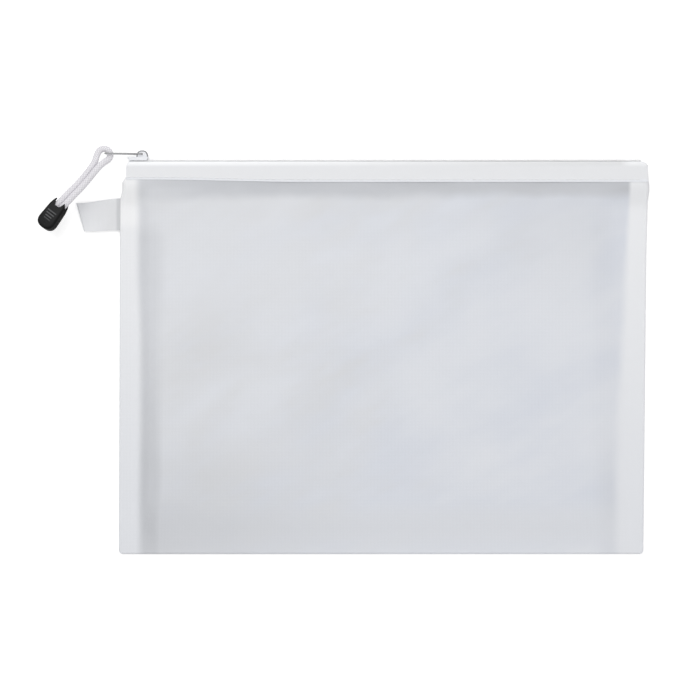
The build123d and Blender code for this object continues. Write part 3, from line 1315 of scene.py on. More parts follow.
@dataclass
class SeamBinding:
    """The bound seam allowance inside one side seam."""

    form: WalletForm
    node: str
    step: float = 4.0 * MM
    gap: float = 0.05 * MM
    inset: float = 1.2 * MM
    end_gap: float = 1.0 * MM
    lift: float = 0.5 * MM
    lift_from: float = 109.0 * MM
    lift_run: float = 3.0 * MM
    wanders: tuple[Flat, ...] = ((0.25 * MM, 9.0 * MM), (0.2 * MM, 23.0 * MM))
    round_share: float = 0.6

    def build(self, finish: Material) -> Piece:
        """Builds and dresses the binding.

        Args:
            finish: The woven tape's material.

        Returns:
            The binding's object.
        """
        low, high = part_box(self.node)
        out = -1.0 if low.x < 0.0 else 1.0
        edge = self.form.right_edge if out > 0.0 else self.form.left_edge
        z_low, z_high = low.z + self.gap, self.form.rim_z - self.form.sheet - self.gap
        width = high.x - low.x - self.inset
        outline = self.outline(width, z_low, z_high)
        length = high.y - low.y - 2.0 * self.end_gap
        count = math.ceil(length / self.step)
        points = []
        for k in range(count + 1):
            y = low.y + self.end_gap + length * k / count
            floor = z_low + self.lift * ease((y - self.lift_from) / self.lift_run)
            wander = sum(reach * math.sin(y / run) for reach, run in self.wanders)
            for across, z in outline:
                x = edge(y) - out * (self.inset + across * (1.0 + wander / width))
                points.append(Vector((x, y, max(z, floor))))
        piece = face_out(new_piece(f"{self.node}_tape", *loft(points, len(outline))))
        return settle(piece, finish, "seam_binding", self.node, "pouch")

    def outline(self, width: float, low: float, high: float) -> list[Flat]:
        """The tape folded round the seam allowance, seen along the seam, with a slit inside.

        Args:
            width: The tape's folded width.
            low: The height of its lower face.
            high: The height of its upper face.

        Returns:
            The outline's corners, as distance from the seam and height.
        """
        layer = (high - low) / 3.0
        eased = width - layer * (1.0 - self.round_share)
        return [
            (0.0, low),
            (width - layer, low),
            (eased, low + layer / 2.0),
            (width, low + layer * 1.5),
            (eased, high - layer / 2.0),
            (width - layer, high),
            (0.0, high),
            (0.0, high - layer),
            (width - 2.0 * layer, high - layer),
            (width - 2.0 * layer, low + layer),
            (0.0, low + layer),
        ]


@dataclass
class SideTab:
    """The ribbon folded in half and caught in the left seam, with a slanting folded end."""

    form: WalletForm
    ribbon: float = 0.4 * MM
    root_top: float = 101.9 * MM
    root_low: float = 81.4 * MM
    root_gap: float = 0.2 * MM
    end_top: float = 98.8 * MM
    end_low: float = 80.7 * MM
    end_top_x: float = -196.0 * MM
    end_low_x: float = -190.9 * MM
    wave: float = 0.14 * MM
    wave_turns: Flat = (9.0, 3.0)
    rows: int = 14
    fold_steps: int = 10
    run_steps: int = 14

    def build(self) -> Piece:
        """Returns:
            The tab's object.
        """
        low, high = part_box("side_tab")
        root_x = high.x - self.root_gap
        middle, radius = (low.z + high.z) / 2.0, (high.z - low.z) / 2.0
        runs = [k / self.run_steps for k in range(self.run_steps)]
        path = [(run, 1.0, None) for run in runs]
        path += [(1.0, 0.0, math.pi * k / self.fold_steps) for k in range(self.fold_steps + 1)]
        path += [(run, -1.0, None) for run in reversed(runs)]
        shares = [row / self.rows for row in range(self.rows + 1)]

        def place(index: float, share: float) -> Placed:
            """A point of the ribbon's outer face and its outward normal.

            Args:
                index: Which place along the folded ribbon.
                share: How far across it, from its low edge.

            Returns:
                The point and the normal.
            """
            run, side, turn = path[int(index)]
            end_x = between(self.end_low_x, self.end_top_x, share) + radius
            x = between(root_x, end_x, run)
            y_end = between(self.end_low, self.end_top, share)
            across, along = self.wave_turns
            wave = self.wave * math.sin(across * share + along * run) * run
            if turn is not None:
                normal = Vector((-math.sin(turn), 0.0, math.cos(turn)))
                return Vector((end_x, y_end, middle + wave)) + normal * radius, normal
            past = -self.form.half_width - x
            out = ease(past / (-self.form.half_width - end_x)) if past > 0.0 else 0.0
            y = between(between(self.root_low, self.root_top, share), y_end, out)
            half = between(self.ribbon, radius, ease(run))
            slope = (radius - self.ribbon) / (root_x - end_x)
            return Vector((x, y, middle + side * half + wave)), Vector((-slope, 0.0, side)).normalized()

        flat = flat_grid([[(float(k), share) for k in range(len(path))] for share in shares])
        piece = thick_sheet("side_tab_ribbon", flat, place, self.ribbon)
        settle(piece, RibbedRibbon("tab_ribbon").make(), "tab_ribbon", "side_tab", "pouch")
        width = self.root_top - self.root_low
        size = (width, cloth_area(piece) / width)
        return piece


@dataclass
class ZipRun:
    """A piece along the zip: whole on the back, and in two spans on the front."""

    slot: ClassVar[str]
    nodes: ClassVar[dict[Side, str]]
    names: ClassVar[dict[Side, str]]
    form: WalletForm
    side: Side

    def node(self) -> str:
        """The solid that it stands in for."""
        return self.nodes[self.side]

    def ends(self) -> Flat:
        """Where it starts and ends along the zip."""
        raise NotImplementedError

    def stretch(self, name: str, low_x: float, high_x: float) -> Piece:
        """Its piece between two places along the zip."""
        raise NotImplementedError

    def build(self, finish: Material) -> list[Piece]:
        """Builds and dresses its pieces.

        Args:
            finish: Their material.

        Returns:
            The pieces.
        """
        name, node = self.names[self.side], self.node()
        low_x, high_x = self.ends()
        if self.side is Side.BACK:
            return [settle(self.stretch(name, low_x, high_x), finish, self.slot, node, "pouch")]
        pieces = []
        peak = self.form.peak_x
        for span, start, end in ((Span.LEFT, low_x, peak), (Span.RIGHT, peak, high_x)):
            piece = self.stretch(f"{name}_{span.value}", start, end)
            dress(piece, finish, self.slot)
            self.form.lift(piece, span)
            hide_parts(node)
            pieces.append(piece)
        return pieces


@dataclass
class ZipTape(ZipRun):
    """One tape of the zip, bent over from the face of the wallet to the middle of the zip."""

    slot = "zip_tape"
    nodes = {Side.FRONT: "front_zip_tape", Side.BACK: "back_zip_tape"}
    names = {Side.FRONT: "front_zip_tape", Side.BACK: "back_zip_tape_weave"}
    thickness: float = 0.5 * MM
    radius: float = 1.9 * MM
    left_end: float = -163.8 * MM
    right_end: float = 168.6 * MM
    end_round: float = 3.2 * MM
    end_steps: tuple[float, ...] = (0.0, 0.2 * MM, 0.6 * MM, 1.2 * MM, 2.0 * MM, 3.0 * MM)
    step: float = 3.0 * MM
    face_steps: int = 12
    face_power: float = 1.6
    bend_steps: int = 7
    roof_steps: int = 2
    thinned: float = 0.33 * MM
    thin_run: float = 1.6 * MM

    def ends(self) -> Flat:
        """Where the tape starts and ends along the zip."""
        return self.left_end, self.right_end

    def profile(self, share: float, low: float) -> tuple[float, float, Vector]:
        """A place on the tape's cross-section, which is pressed thin along its lower edge.

        Args:
            share: From 0 at the lower edge, over 1 and 2 at the two ends of the bend, to 3.
            low: The lower edge's place up the wallet.

        Returns:
            The place up the wallet, the height over the middle, and the outward normal, whose
            length is the share of the full thickness.
        """
        roof_low, top = (corner.z - self.form.mid_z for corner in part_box("front_zip_tape"))
        centre = self.form.zip_y - self.radius
        if share <= 1.0:
            up = (centre - low) * share**self.face_power
            lost = self.thinned * (1.0 - ease(up / self.thin_run))
            return low + up, top - lost, Vector((0.0, 0.0, 1.0 - lost / self.thickness))
        if share <= 2.0:
            angle = (share - 1.0) * math.pi / 2.0
            normal = Vector((0.0, math.sin(angle), math.cos(angle)))
            return centre + self.radius * normal.y, top - self.radius * (1.0 - normal.z), normal
        shoulder = top - self.radius
        return self.form.zip_y, between(shoulder, roof_low, share - 2.0), Vector((0.0, 1.0, 0.0))

    def place(self, x: float, share: float) -> Placed:
        """A point of the tape's outer face and its outward normal.

        Args:
            x: Place along the zip.
            share: Place on the cross-section, as in profile.

        Returns:
            The point and the normal.
        """
        y, height, normal = self.profile(share, self.form.tape_edge(x))
        drawn = drawn_in(self.end_round, min(x - self.left_end, self.right_end - x))
        y -= drawn * ease((y - self.form.tape_low) / (self.form.zip_y - self.form.tape_low))
        flip = float(self.side.value)
        point = Vector((x, y, self.form.mid_z + flip * height))
        return point, Vector((normal.x, normal.y, flip * normal.z))

    def stretch(self, name: str, low_x: float, high_x: float) -> Piece:
        """A stretch of the tape between two places along the zip.

        Args:
            name: The piece's name.
            low_x: Where it starts.
            high_x: Where it ends.

        Returns:
            The piece.
        """
        columns = [low_x + c for c in spaced(high_x - low_x, self.end_steps, self.step)]
        shares = [k / self.face_steps for k in range(self.face_steps)]
        shares += [1.0 + k / self.bend_steps for k in range(self.bend_steps)]
        shares += [2.0 + k / self.roof_steps for k in range(self.roof_steps + 1)]
        flat = flat_grid([[(x, s) for x in columns] for s in shares])
        return thick_sheet(name, flat, self.place, self.thickness)


@dataclass
class ZipCoil(ZipRun):
    """One coil of the zip: a nylon wire wound along the edge of a tape, round a filler cord."""

    slot = "zip_teeth"
    nodes = {Side.FRONT: "front_zip_teeth", Side.BACK: "back_zip_teeth"}
    names = {Side.FRONT: "front_zip_coil", Side.BACK: "back_zip_coil"}
    pitch: float = 1.2 * MM
    wire: float = 0.34 * MM
    head: float = 0.75 * MM
    heel: float = 1.95 * MM
    filler: float = 0.56 * MM
    filler_out: float = 0.45
    beyond: float = 4.5 * MM
    turn_points: int = 12
    wire_sides: int = 6

    def ends(self) -> Flat:
        """Where the coil starts and ends along the zip."""
        low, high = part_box("front_zip_teeth")
        return low.x, high.x + self.beyond

    def stretch(self, name: str, low_x: float, high_x: float) -> Piece:
        """A stretch of the coil between two places along the zip.

        Args:
            name: The piece's name.
            low_x: Where it starts.
            high_x: Where it ends.

        Returns:
            The piece.
        """
        low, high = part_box("front_zip_teeth")
        centre_y, half_y = (low.y + high.y) / 2.0, (high.y - low.y) / 2.0 - self.wire
        reach = (self.heel + self.head - 2.0 * self.wire) / 2.0
        offset = (self.heel - self.head) / 2.0
        phase = 0.0 if self.side is Side.FRONT else math.pi
        first, last = ((x - low.x) / self.pitch * self.turn_points for x in (low_x, high_x))
        points = []
        for k in range(math.ceil(first), math.floor(last) + 1):
            turn = 2.0 * math.pi * k / self.turn_points + phase
            z = self.form.mid_z + self.side.value * (offset + reach * math.cos(turn))
            x = low.x + self.pitch * k / self.turn_points
            points.append(Vector((x, centre_y + half_y * math.sin(turn), z)))
        middle = self.form.mid_z + self.side.value * (offset + reach * self.filler_out)
        count = math.ceil((high_x - low_x) / (2.0 * self.pitch))
        shares = [k / count for k in range(count + 1)]
        core = [Vector((between(low_x, high_x, share), centre_y, middle)) for share in shares]
        coil = rod(points, self.wire, self.wire_sides)
        return new_piece(name, *joined([coil, rod(core, self.filler, 2 * self.wire_sides)]))


@dataclass
class StitchRow(ZipRun):
    """A row of stitches along a tape, each a short plump thread whose ends dive into the cloth."""

    slot = "thread"
    nodes = {Side.FRONT: "front_zip_stitching", Side.BACK: "back_zip_stitching"}
    names = {Side.FRONT: "front_zip_thread", Side.BACK: "back_zip_thread"}
    length: float = 2.6 * MM
    pitch: float = 4.0 * MM
    thread: float = 0.24 * MM
    swell: float = 0.1
    crown: float = 0.55
    dive: float = 1.2
    inset: float = 1.6 * MM
    rings: int = 9
    sides: int = 8

    def ends(self) -> Flat:
        """Where the row may start and end, which is past its stitches on both sides."""
        return -2.0 * self.form.half_width, 2.0 * self.form.half_width

    def twist(self, ring: int, angle: float) -> float:
        """The thread's radius, which swells and narrows with its twist."""
        return self.thread * (1.0 + self.swell * math.sin(3.0 * ring + angle))

    def stitch(self, centre: Vector) -> Shape:
        """One stitch about a point on the cloth.

        Args:
            centre: The point.

        Returns:
            The stitch's vertices and faces.
        """
        points = []
        for k in range(self.rings):
            share = 2.0 * k / (self.rings - 1) - 1.0
            rise = self.thread * (self.crown - self.dive * share**4)
            points.append(centre + Vector((share * self.length / 2.0, 0.0, rise)))
        return tube(carried_frames(points), self.twist, self.sides)

    def stretch(self, name: str, low_x: float, high_x: float) -> Piece:
        """The row's stitches between two places along the zip.

        Args:
            name: The piece's name.
            low_x: Where they start.
            high_x: Where they end.

        Returns:
            The piece.
        """
        low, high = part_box(self.node())
        count = round((high.x - low.x - self.length) / self.pitch) + 1
        places = [low.x + self.length / 2.0 + k * self.pitch for k in range(count)]
        parts = []
        for x in places:
            if low_x <= x < high_x:
                parts.append(self.stitch(Vector((x, self.form.tape_edge(x) + self.inset, low.z))))
        return new_piece(name, *joined(parts))


@dataclass
class CordPull:
    """The doubled cord of the pull: up from the cap, round the wire's far bar and back, with a knot.

    The two strands lie against each other, and the right one rides a little higher. A pair of heights
    is for the left strand and the right one.
    """

    diameter: float = 4.0 * MM
    half_wide: float = 2.15 * MM
    half_thick: float = 1.85 * MM
    length: float = 107.1 * MM
    spacing: float = 0.2 * MM
    sides: int = 36
    strands: int = 12
    strand_pitch: float = 1.5 * MM
    strand_height: float = 0.16 * MM
    strand_crown: float = 0.45
    spline_steps: int = 24
    knot_thread: float = 1.05 * MM
    knot_reach: float = 0.9 * MM
    knot_steps: int = 90
    knot_sides: int = 12
    knot_height: float = 0.8
    cap_mouth: Triple = (-203.8 * MM, 99.05 * MM, 13.5 * MM)
    cap_along: Triple = (-0.6, -0.8, 0.0)
    cap_roll: float = math.radians(24.0)
    held: float = 6.5 * MM
    held_half: float = 2.05 * MM
    straight: float = 5.0 * MM
    straight_bow: float = 1.0 * MM
    pair_half: float = 1.75 * MM
    middle_at: float = 25.0 * MM
    middle_bow: float = 1.6 * MM
    middle_heights: Flat = (11.2 * MM, 13.4 * MM)
    near_at: float = 9.0 * MM
    near_bow: float = 0.9 * MM
    near_heights: Flat = (10.2 * MM, 12.6 * MM)
    turn: float = math.radians(210.0)
    turn_radius: float = 4.0 * MM
    turn_offset: float = 1.2 * MM
    turn_heights: tuple[float, ...] = (8.0 * MM, 7.9 * MM, 7.9 * MM, 8.3 * MM)
    lead_share: float = 1.25
    lead_heights: Flat = (8.8 * MM, 9.8 * MM)

    def axes(self) -> tuple[Vector, Vector, Vector, Vector]:
        """The cap's mouth and its directions along, across and out of the front.

        Returns:
            The mouth and the three directions.
        """
        along = Vector(self.cap_along)
        level = UP.cross(along)
        across = level * math.cos(self.cap_roll) + UP * math.sin(self.cap_roll)
        return Vector(self.cap_mouth), along, across, along.cross(across)

    def route(self) -> list[Vector]:
        """The points that the cord's curve follows.

        Returns:
            The points, from one end in the cap to the other.
        """
        low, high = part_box("pull_wire")
        bar = Vector((low.x + (high.y - low.y) / 2.0, (low.y + high.y) / 2.0, 0.0))
        mouth, along, across, _ = self.axes()
        toward = Vector((mouth.x - bar.x, mouth.y - bar.y, 0.0)).normalized()
        right = UP.cross(toward)
        centre = bar + toward * self.turn_offset
        step = self.turn / len(self.turn_heights)
        lead = self.turn_radius * math.tan(step / 2.0) * self.lead_share
        bow = UP.cross(along) * self.straight_bow
        heights = zip((-1.0, 1.0), self.middle_heights, self.near_heights, self.lead_heights)
        strands = []
        for side, middle_z, near_z, lead_z in heights:
            end = side * self.turn / 2.0
            start = centre + (right * math.sin(end) - toward * math.cos(end)) * self.turn_radius
            away = (toward * math.sin(end) + right * math.cos(end)) * side
            held = mouth + across * side * self.held_half
            beside = side * self.pair_half
            middle = bar + toward * self.middle_at + right * (self.middle_bow + beside)
            near = bar + toward * self.near_at + right * (self.near_bow + beside)
            strand = [held + along * self.held, held - along * self.straight + bow]
            strand += [middle + UP * middle_z, near + UP * near_z, start + away * lead + UP * lead_z]
            strands.append(strand)
        reach = self.turn_radius / math.cos(step / 2.0)
        corners = []
        for k, height in enumerate(self.turn_heights):
            angle = step * (k + 0.5) - self.turn / 2.0
            outward = right * math.sin(angle) - toward * math.cos(angle)
            corners.append(centre + outward * reach + UP * height)
        return [*strands[0], *corners, *reversed(strands[1])]

    def line(self) -> list[Vector]:
        """The cord's smooth centre line, read from a spline along its route.

        Returns:
            The line's points, evenly spaced.
        """
        route = self.route()
        curve = bpy.data.curves.new("cord_line", "CURVE")
        curve.dimensions = "3D"
        curve.resolution_u = self.spline_steps
        spline = curve.splines.new("NURBS")
        spline.points.add(len(route) - 1)
        for point, place in zip(spline.points, route):
            point.co = (*place, 1.0)
        spline.order_u = 3
        spline.use_endpoint_u = True
        holder = bpy.data.objects.new("cord_line", curve)
        bpy.context.scene.collection.objects.link(holder)
        bpy.context.view_layer.update()
        mesh = bpy.data.meshes.new_from_object(holder)
        points = np.array([v.co for v in mesh.vertices])
        bpy.data.objects.remove(holder)
        bpy.data.meshes.remove(mesh)
        along = np.concatenate([[0.0], np.cumsum(np.linalg.norm(np.diff(points, axis=0), axis=1))])
        even = np.linspace(0.0, along[-1], round(along[-1] / self.spacing) + 1)
        smooth = np.column_stack([np.interp(even, along, points[:, k]) for k in range(3)])
        return [Vector(p) for p in smooth]

    def braid(self, turn: float, along: float) -> float:
        """How high the braid stands.

        Args:
            turn: Place round the cord, from 0 to 1.
            along: Place along the cord.

        Returns:
            The height, from 0 in a groove to 1 on a strand.
        """
        a = turn * self.strands / 2.0 + along / self.strand_pitch
        b = turn * self.strands / 2.0 - along / self.strand_pitch
        over_a = (math.floor(a) + math.floor(b)) % 2 == 0
        across, run = (a, b) if over_a else (b, a)
        off_middle = 2.0 * (across - math.floor(across)) - 1.0
        on_run = math.cos(math.pi * ((run - math.floor(run)) - 0.5))
        return max(0.0, 1.0 - off_middle**2) * between(1.0, on_run, self.strand_crown)

    def build(self, finish: Material) -> Piece:
        """Args:
            finish: The braid's material.

        Returns:
            The cord's object.
        """
        points = self.line()
        heights = []

        def radius(ring: int, angle: float) -> float:
            """The radius of the slightly flattened braid.

            Args:
                ring: The ring's number along the cord.
                angle: Place round the cord.

            Returns:
                The radius.
            """
            height = self.braid(angle / (2.0 * math.pi), ring * self.spacing)
            heights.append(height)
            wide, thick = math.cos(angle) / self.half_wide, math.sin(angle) / self.half_thick
            return 1.0 / math.hypot(wide, thick) - self.strand_height * (1.0 - height)

        piece = new_piece("pull_cord_braid", *tube(level_frames(points), radius, self.sides))
        store_shading(piece, heights)
        settle(piece, finish, "pull_cord", "pull_cord", "pull")
        tuple(points[0])
        [tuple(p) for p in points]
        return piece

    def knot(self, finish: Material) -> Piece:
        """The knot that ties the cord's two ends together inside the cap.

        Args:
            finish: The braid's material.

        Returns:
            The knot's object.
        """
        low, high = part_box("cord_knot")
        centre = (low + high) / 2.0
        _, along, across, up = self.axes()
        points = []
        for k in range(self.knot_steps):
            t = 2.0 * math.pi * k / self.knot_steps
            u = (math.sin(t) + 2.0 * math.sin(2.0 * t)) * self.knot_reach
            v = (math.cos(t) - 2.0 * math.cos(2.0 * t)) * self.knot_reach
            w = -math.sin(3.0 * t) * self.knot_reach
            points.append(centre + along * u + across * v + up * w)
        made, faces = rod([*points, points[0]], self.knot_thread, self.knot_sides)
        piece = new_piece("cord_knot_yarn", made, faces)
        # The knot's yarn takes a little of the painted groove shade all over.
        store_shading(piece, [self.knot_height] * len(made))
        return settle(piece, finish, "pull_cord", "cord_knot", "pull")


@dataclass
class CordCap:
    """The moulded cap: two shells with prongs beside the cord, a notch, grip ribs and a fine seam."""

    cord: CordPull
    length: float = 20.6 * MM
    half_mouth: float = 5.0 * MM
    half_shoulder: float = 5.8 * MM
    half_end: float = 6.9 * MM
    shoulder_at: float = 4.8 * MM
    end_run: float = 6.4 * MM
    end_power: float = 2.4
    height: float = 3.3 * MM
    dome: float = 0.25 * MM
    mouth_power: float = 3.4
    body_power: float = 7.0
    body_from: float = 7.0 * MM
    wall: float = 0.8 * MM
    seam: float = 0.07 * MM
    notch_depth: float = 4.2 * MM
    notch_mouth: float = 3.7 * MM
    notch_floor: float = 2.3 * MM
    notch_corner: float = 0.7 * MM
    notch_slope: float = 0.9
    prong_tip: float = 0.15 * MM
    prong_slope: float = 1.6
    rib_count: int = 4
    rib_start: float = 8.4 * MM
    rib_pitch: float = 1.85 * MM
    rib_width: float = 0.9 * MM
    rib_half: float = 3.8 * MM
    rib_taper: float = 0.4 * MM
    rib_height: float = 0.45 * MM
    rib_soft: float = 0.22 * MM
    # Painted sheen on the top face, less further along the cap and none near its outline.
    face_sheen: float = 0.15
    face_sheen_lost: float = 0.06
    face_sheen_run: Flat = (9.0 * MM, 9.0 * MM)
    face_sheen_edge: Flat = (0.90, 0.2)
    rim_share: float = 0.9995
    probe: float = 0.04 * MM
    fine: float = 0.15 * MM
    end_shares: tuple[float, ...] = (
        *(0.12, 0.24, 0.36, 0.48, 0.58, 0.68, 0.76),
        *(0.83, 0.89, 0.93, 0.96, 0.98, 0.992, 0.998),
    )
    side_shares: tuple[float, ...] = (
        *(0.0, 0.12, 0.24, 0.36, 0.47, 0.57, 0.66, 0.74, 0.81),
        *(0.86, 0.90, 0.93, 0.955, 0.972, 0.984, 0.992, 0.997, 1.0),
    )

    def half_width(self, u: float) -> float:
        """Half the cap's width at a place along it, without its round end.

        Args:
            u: Place along the cap, from its mouth.

        Returns:
            The half width.
        """
        if u < self.shoulder_at:
            return between(self.half_mouth, self.half_shoulder, u / self.shoulder_at)
        share = (u - self.shoulder_at) / (self.length - self.shoulder_at)
        return between(self.half_shoulder, self.half_end, share)

    def end_share(self, u: float) -> float:
        """How far a place lies into the round end, from 0 to 1."""
        return max(0.0, (u - self.length + self.end_run) / self.end_run)

    def nearness(self, u: float, v: float) -> float:
        """How near a place is to the outline, from 0 on the axis to 1 on the outline."""
        side, end = abs(v) / self.half_width(u), self.end_share(u)
        return min(1.0, (side**self.end_power + end**self.end_power) ** (1.0 / self.end_power))

    def rib(self, u: float, v: float) -> float:
        """How high a grip rib stands at a place.

        Args:
            u: Place along the cap, from its mouth.
            v: Place across it.

        Returns:
            The height, from 0 to 1.
        """
        highest = 0.0
        for k in range(self.rib_count):
            middle = self.rib_start + k * self.rib_pitch + self.rib_width / 2.0
            half = self.rib_half - k * self.rib_taper
            over = ease((self.rib_width / 2.0 + self.rib_soft / 2.0 - abs(u - middle)) / self.rib_soft)
            highest = max(highest, over * ease((half - abs(v)) / (2.0 * self.rib_soft)))
        return highest

    def rise(self, u: float, v: float, ribbed: bool) -> float:
        """The height of a shell's outer face over the seam.

        Args:
            u: Place along the cap, from its mouth.
            v: Place across it.
            ribbed: Whether the shell has grip ribs.

        Returns:
            The height.
        """
        near = self.nearness(u, v)
        power = between(self.mouth_power, self.body_power, ease(u / self.body_from))
        top = self.height - self.dome * (v / self.half_end) ** 2
        rise = top * max(0.0, 1.0 - near**power) ** (1.0 / power)
        return self.seam + rise + (self.rib_height * self.rib(u, v) if ribbed else 0.0)

    def rows(self) -> list[list[Flat]]:
        """The shell's flat places, close together at its edges and ribs.

        Returns:
            Rows of places along and across the cap.
        """
        body = self.length - self.end_run
        ups = [self.fine * k for k in range(int(body / self.fine) + 1)]
        ups += [body + self.end_run * share for share in self.end_shares]
        shares = [-s for s in reversed(self.side_shares[1:])] + list(self.side_shares)
        rows = []
        for u in ups:
            end = max(0.0, (u - body) / self.end_run)
            width = self.half_width(u) * (1.0 - end**self.end_power) ** (1.0 / self.end_power)
            rows.append([(u, share * width) for share in shares])
        return rows

    def cut_mouth(self, flat: FlatMesh) -> None:
        """Cuts the notch for the cord and points the two prongs.

        Args:
            flat: The shell's flat mesh.
        """
        slant = (self.notch_mouth - self.notch_floor) / self.notch_depth
        corner = self.notch_floor - self.notch_corner
        lines = [((self.notch_depth, 0.0), (1.0, 0.0))]
        for side in (1.0, -1.0):
            lines.append(((0.0, side * self.notch_mouth), (slant, side)))
            lines.append(((self.notch_depth, side * corner), (1.0, side * self.notch_slope)))
        cut_out(flat, lines)
        for side in (1.0, -1.0):
            tip = (0.0, side * (self.notch_mouth + self.prong_tip))
            cut_out(flat, [(tip, (1.0, -side * self.prong_slope))])

    def shell(self, name: str, side: Side) -> Piece:
        """One shell, with the share of painted highlight and sheen at each point kept for its finish.

        Args:
            name: The piece's name.
            side: The front or the back shell.

        Returns:
            The shell's object.
        """
        mouth, along, across, out = self.cord.axes()
        ribbed = side is Side.FRONT
        turned = out * float(side.value)
        flat = flat_grid(self.rows())
        self.cut_mouth(flat)
        second_tone = []

        def place(u: float, v: float) -> Placed:
            """A point of the shell's outer face and its outward normal.

            Args:
                u: Place along the cap, from its mouth.
                v: Place across it.

            Returns:
                The point and the normal.
            """
            step, near = self.probe, self.nearness(u, v)
            here = self.rise(u, v, ribbed)
            inward = v - math.copysign(step, v)
            slope_v = (self.rise(u, inward, ribbed) - here) / (inward - v)
            slope_u = (here - self.rise(max(u - step, 0.0), v, ribbed)) / step
            normal = turned - across * slope_v - along * slope_u
            if near > self.rim_share:
                end = self.end_share(u)
                normal = across * math.copysign(1.0 - end, v) + along * end
            # The share of painted sheen on the face and painted highlight on the ribs.
            start, run = self.face_sheen_run
            face = self.face_sheen - self.face_sheen_lost * ease((u - start) / run)
            limit, soft = self.face_sheen_edge
            second_tone.append(max(face * ease((limit - near) / soft), self.rib(u, v) if ribbed else 0.0))
            return mouth + along * u + across * v + turned * here, normal.normalized()

        piece = thick_sheet(name, flat, place, self.wall)
        store_shading(piece, second_tone + [0.0] * len(second_tone))
        return piece

    def build(self) -> list[Piece]:
        """Builds and dresses both shells.

        Returns:
            The two shells.
        """
        finish = HighlitPlastic("cap_plastic").make()
        pieces = []
        for node, side in (("cap_front_shell", Side.FRONT), ("cap_rear_shell", Side.BACK)):
            shell = self.shell(f"{node}_moulding", side)
            pieces.append(settle(shell, finish, "cap_plastic", node, "pull"))
        return pieces


@dataclass
class HardParts:
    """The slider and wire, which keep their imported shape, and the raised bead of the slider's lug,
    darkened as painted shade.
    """

    lacquer: HardFinish = HardFinish("slider_lacquer", 0.32, grey(0.80, 0.02), grey(0.72, 0.03), 0.4)
    # Painted shade: the lug's bead is much darker than the slider, for the lug's dark outline.
    painted_shading: HardFinish = HardFinish("slider_rim", 0.34, grey(0.30, 0.02), grey(0.20, 0.02), 0.8)
    wire: HardFinish = HardFinish("wire_lacquer", 0.34, grey(0.36, 0.01), grey(0.26, 0.01), 0.85)
    edge: float = 0.18 * MM
    edge_steps: int = 3
    edge_angle: float = math.radians(35.0)
    lug_from_tail: float = 4.1 * MM
    lug_half_foot: float = 3.8 * MM
    lug_height: float = 4.7 * MM
    lug_half_thick: float = 1.1 * MM
    rim: float = 0.45 * MM
    rim_power: float = 0.78
    rim_steps: int = 28
    rim_sides: int = 10

    def ease_edges(self, piece: Piece) -> None:
        """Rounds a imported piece's sharp edges a little.

        Args:
            piece: The piece.
        """
        bevel = piece.modifiers.new("eased_edges", "BEVEL")
        bevel.width = self.edge
        bevel.segments = self.edge_steps
        bevel.limit_method = "ANGLE"
        bevel.angle_limit = self.edge_angle
        bevel.harden_normals = True

    def bead(self, rise: float) -> Shape:
        """The round bead that arches over the slider's lug.

        Args:
            rise: Its height over the slider's middle.

        Returns:
            The bead's vertices and faces.
        """
        low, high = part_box("slider_body")
        middle = (low.z + high.z) / 2.0
        foot = Vector((high.x - self.lug_from_tail, high.y - self.lug_height, middle + rise))
        half, tall = self.lug_half_foot - self.rim, self.lug_height - self.rim
        points = []
        for k in range(self.rim_steps + 1):
            angle = math.pi * k / self.rim_steps
            across = math.copysign(abs(math.cos(angle)) ** self.rim_power, -math.cos(angle))
            up = math.sin(angle) ** self.rim_power
            points.append(foot + Vector((across * half, up * tall, 0.0)))
        return rod(points, self.rim, self.rim_sides)

    def lug_rim(self) -> Piece:
        """The beads along the lug's front and back outline."""
        rise = self.lug_half_thick - self.rim / 2.0
        return new_piece("slider_lug_rim", *joined([self.bead(rise), self.bead(-rise)]))

    def build(self) -> list[Piece]:
        """Dresses the slider and wire.

        Returns:
            The dressed pieces.
        """
        slider, wire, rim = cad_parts["slider_body"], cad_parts["pull_wire"], self.lug_rim()
        dress(slider, self.lacquer.make(), "slider_metal")
        self.ease_edges(slider)
        dress(wire, self.wire.make(), "wire_metal")
        # The bead's dark colour is painted shade.
        dress(rim, self.painted_shading.make(), "slider_metal")
        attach(rim, "slider")
        return [slider, wire, rim]


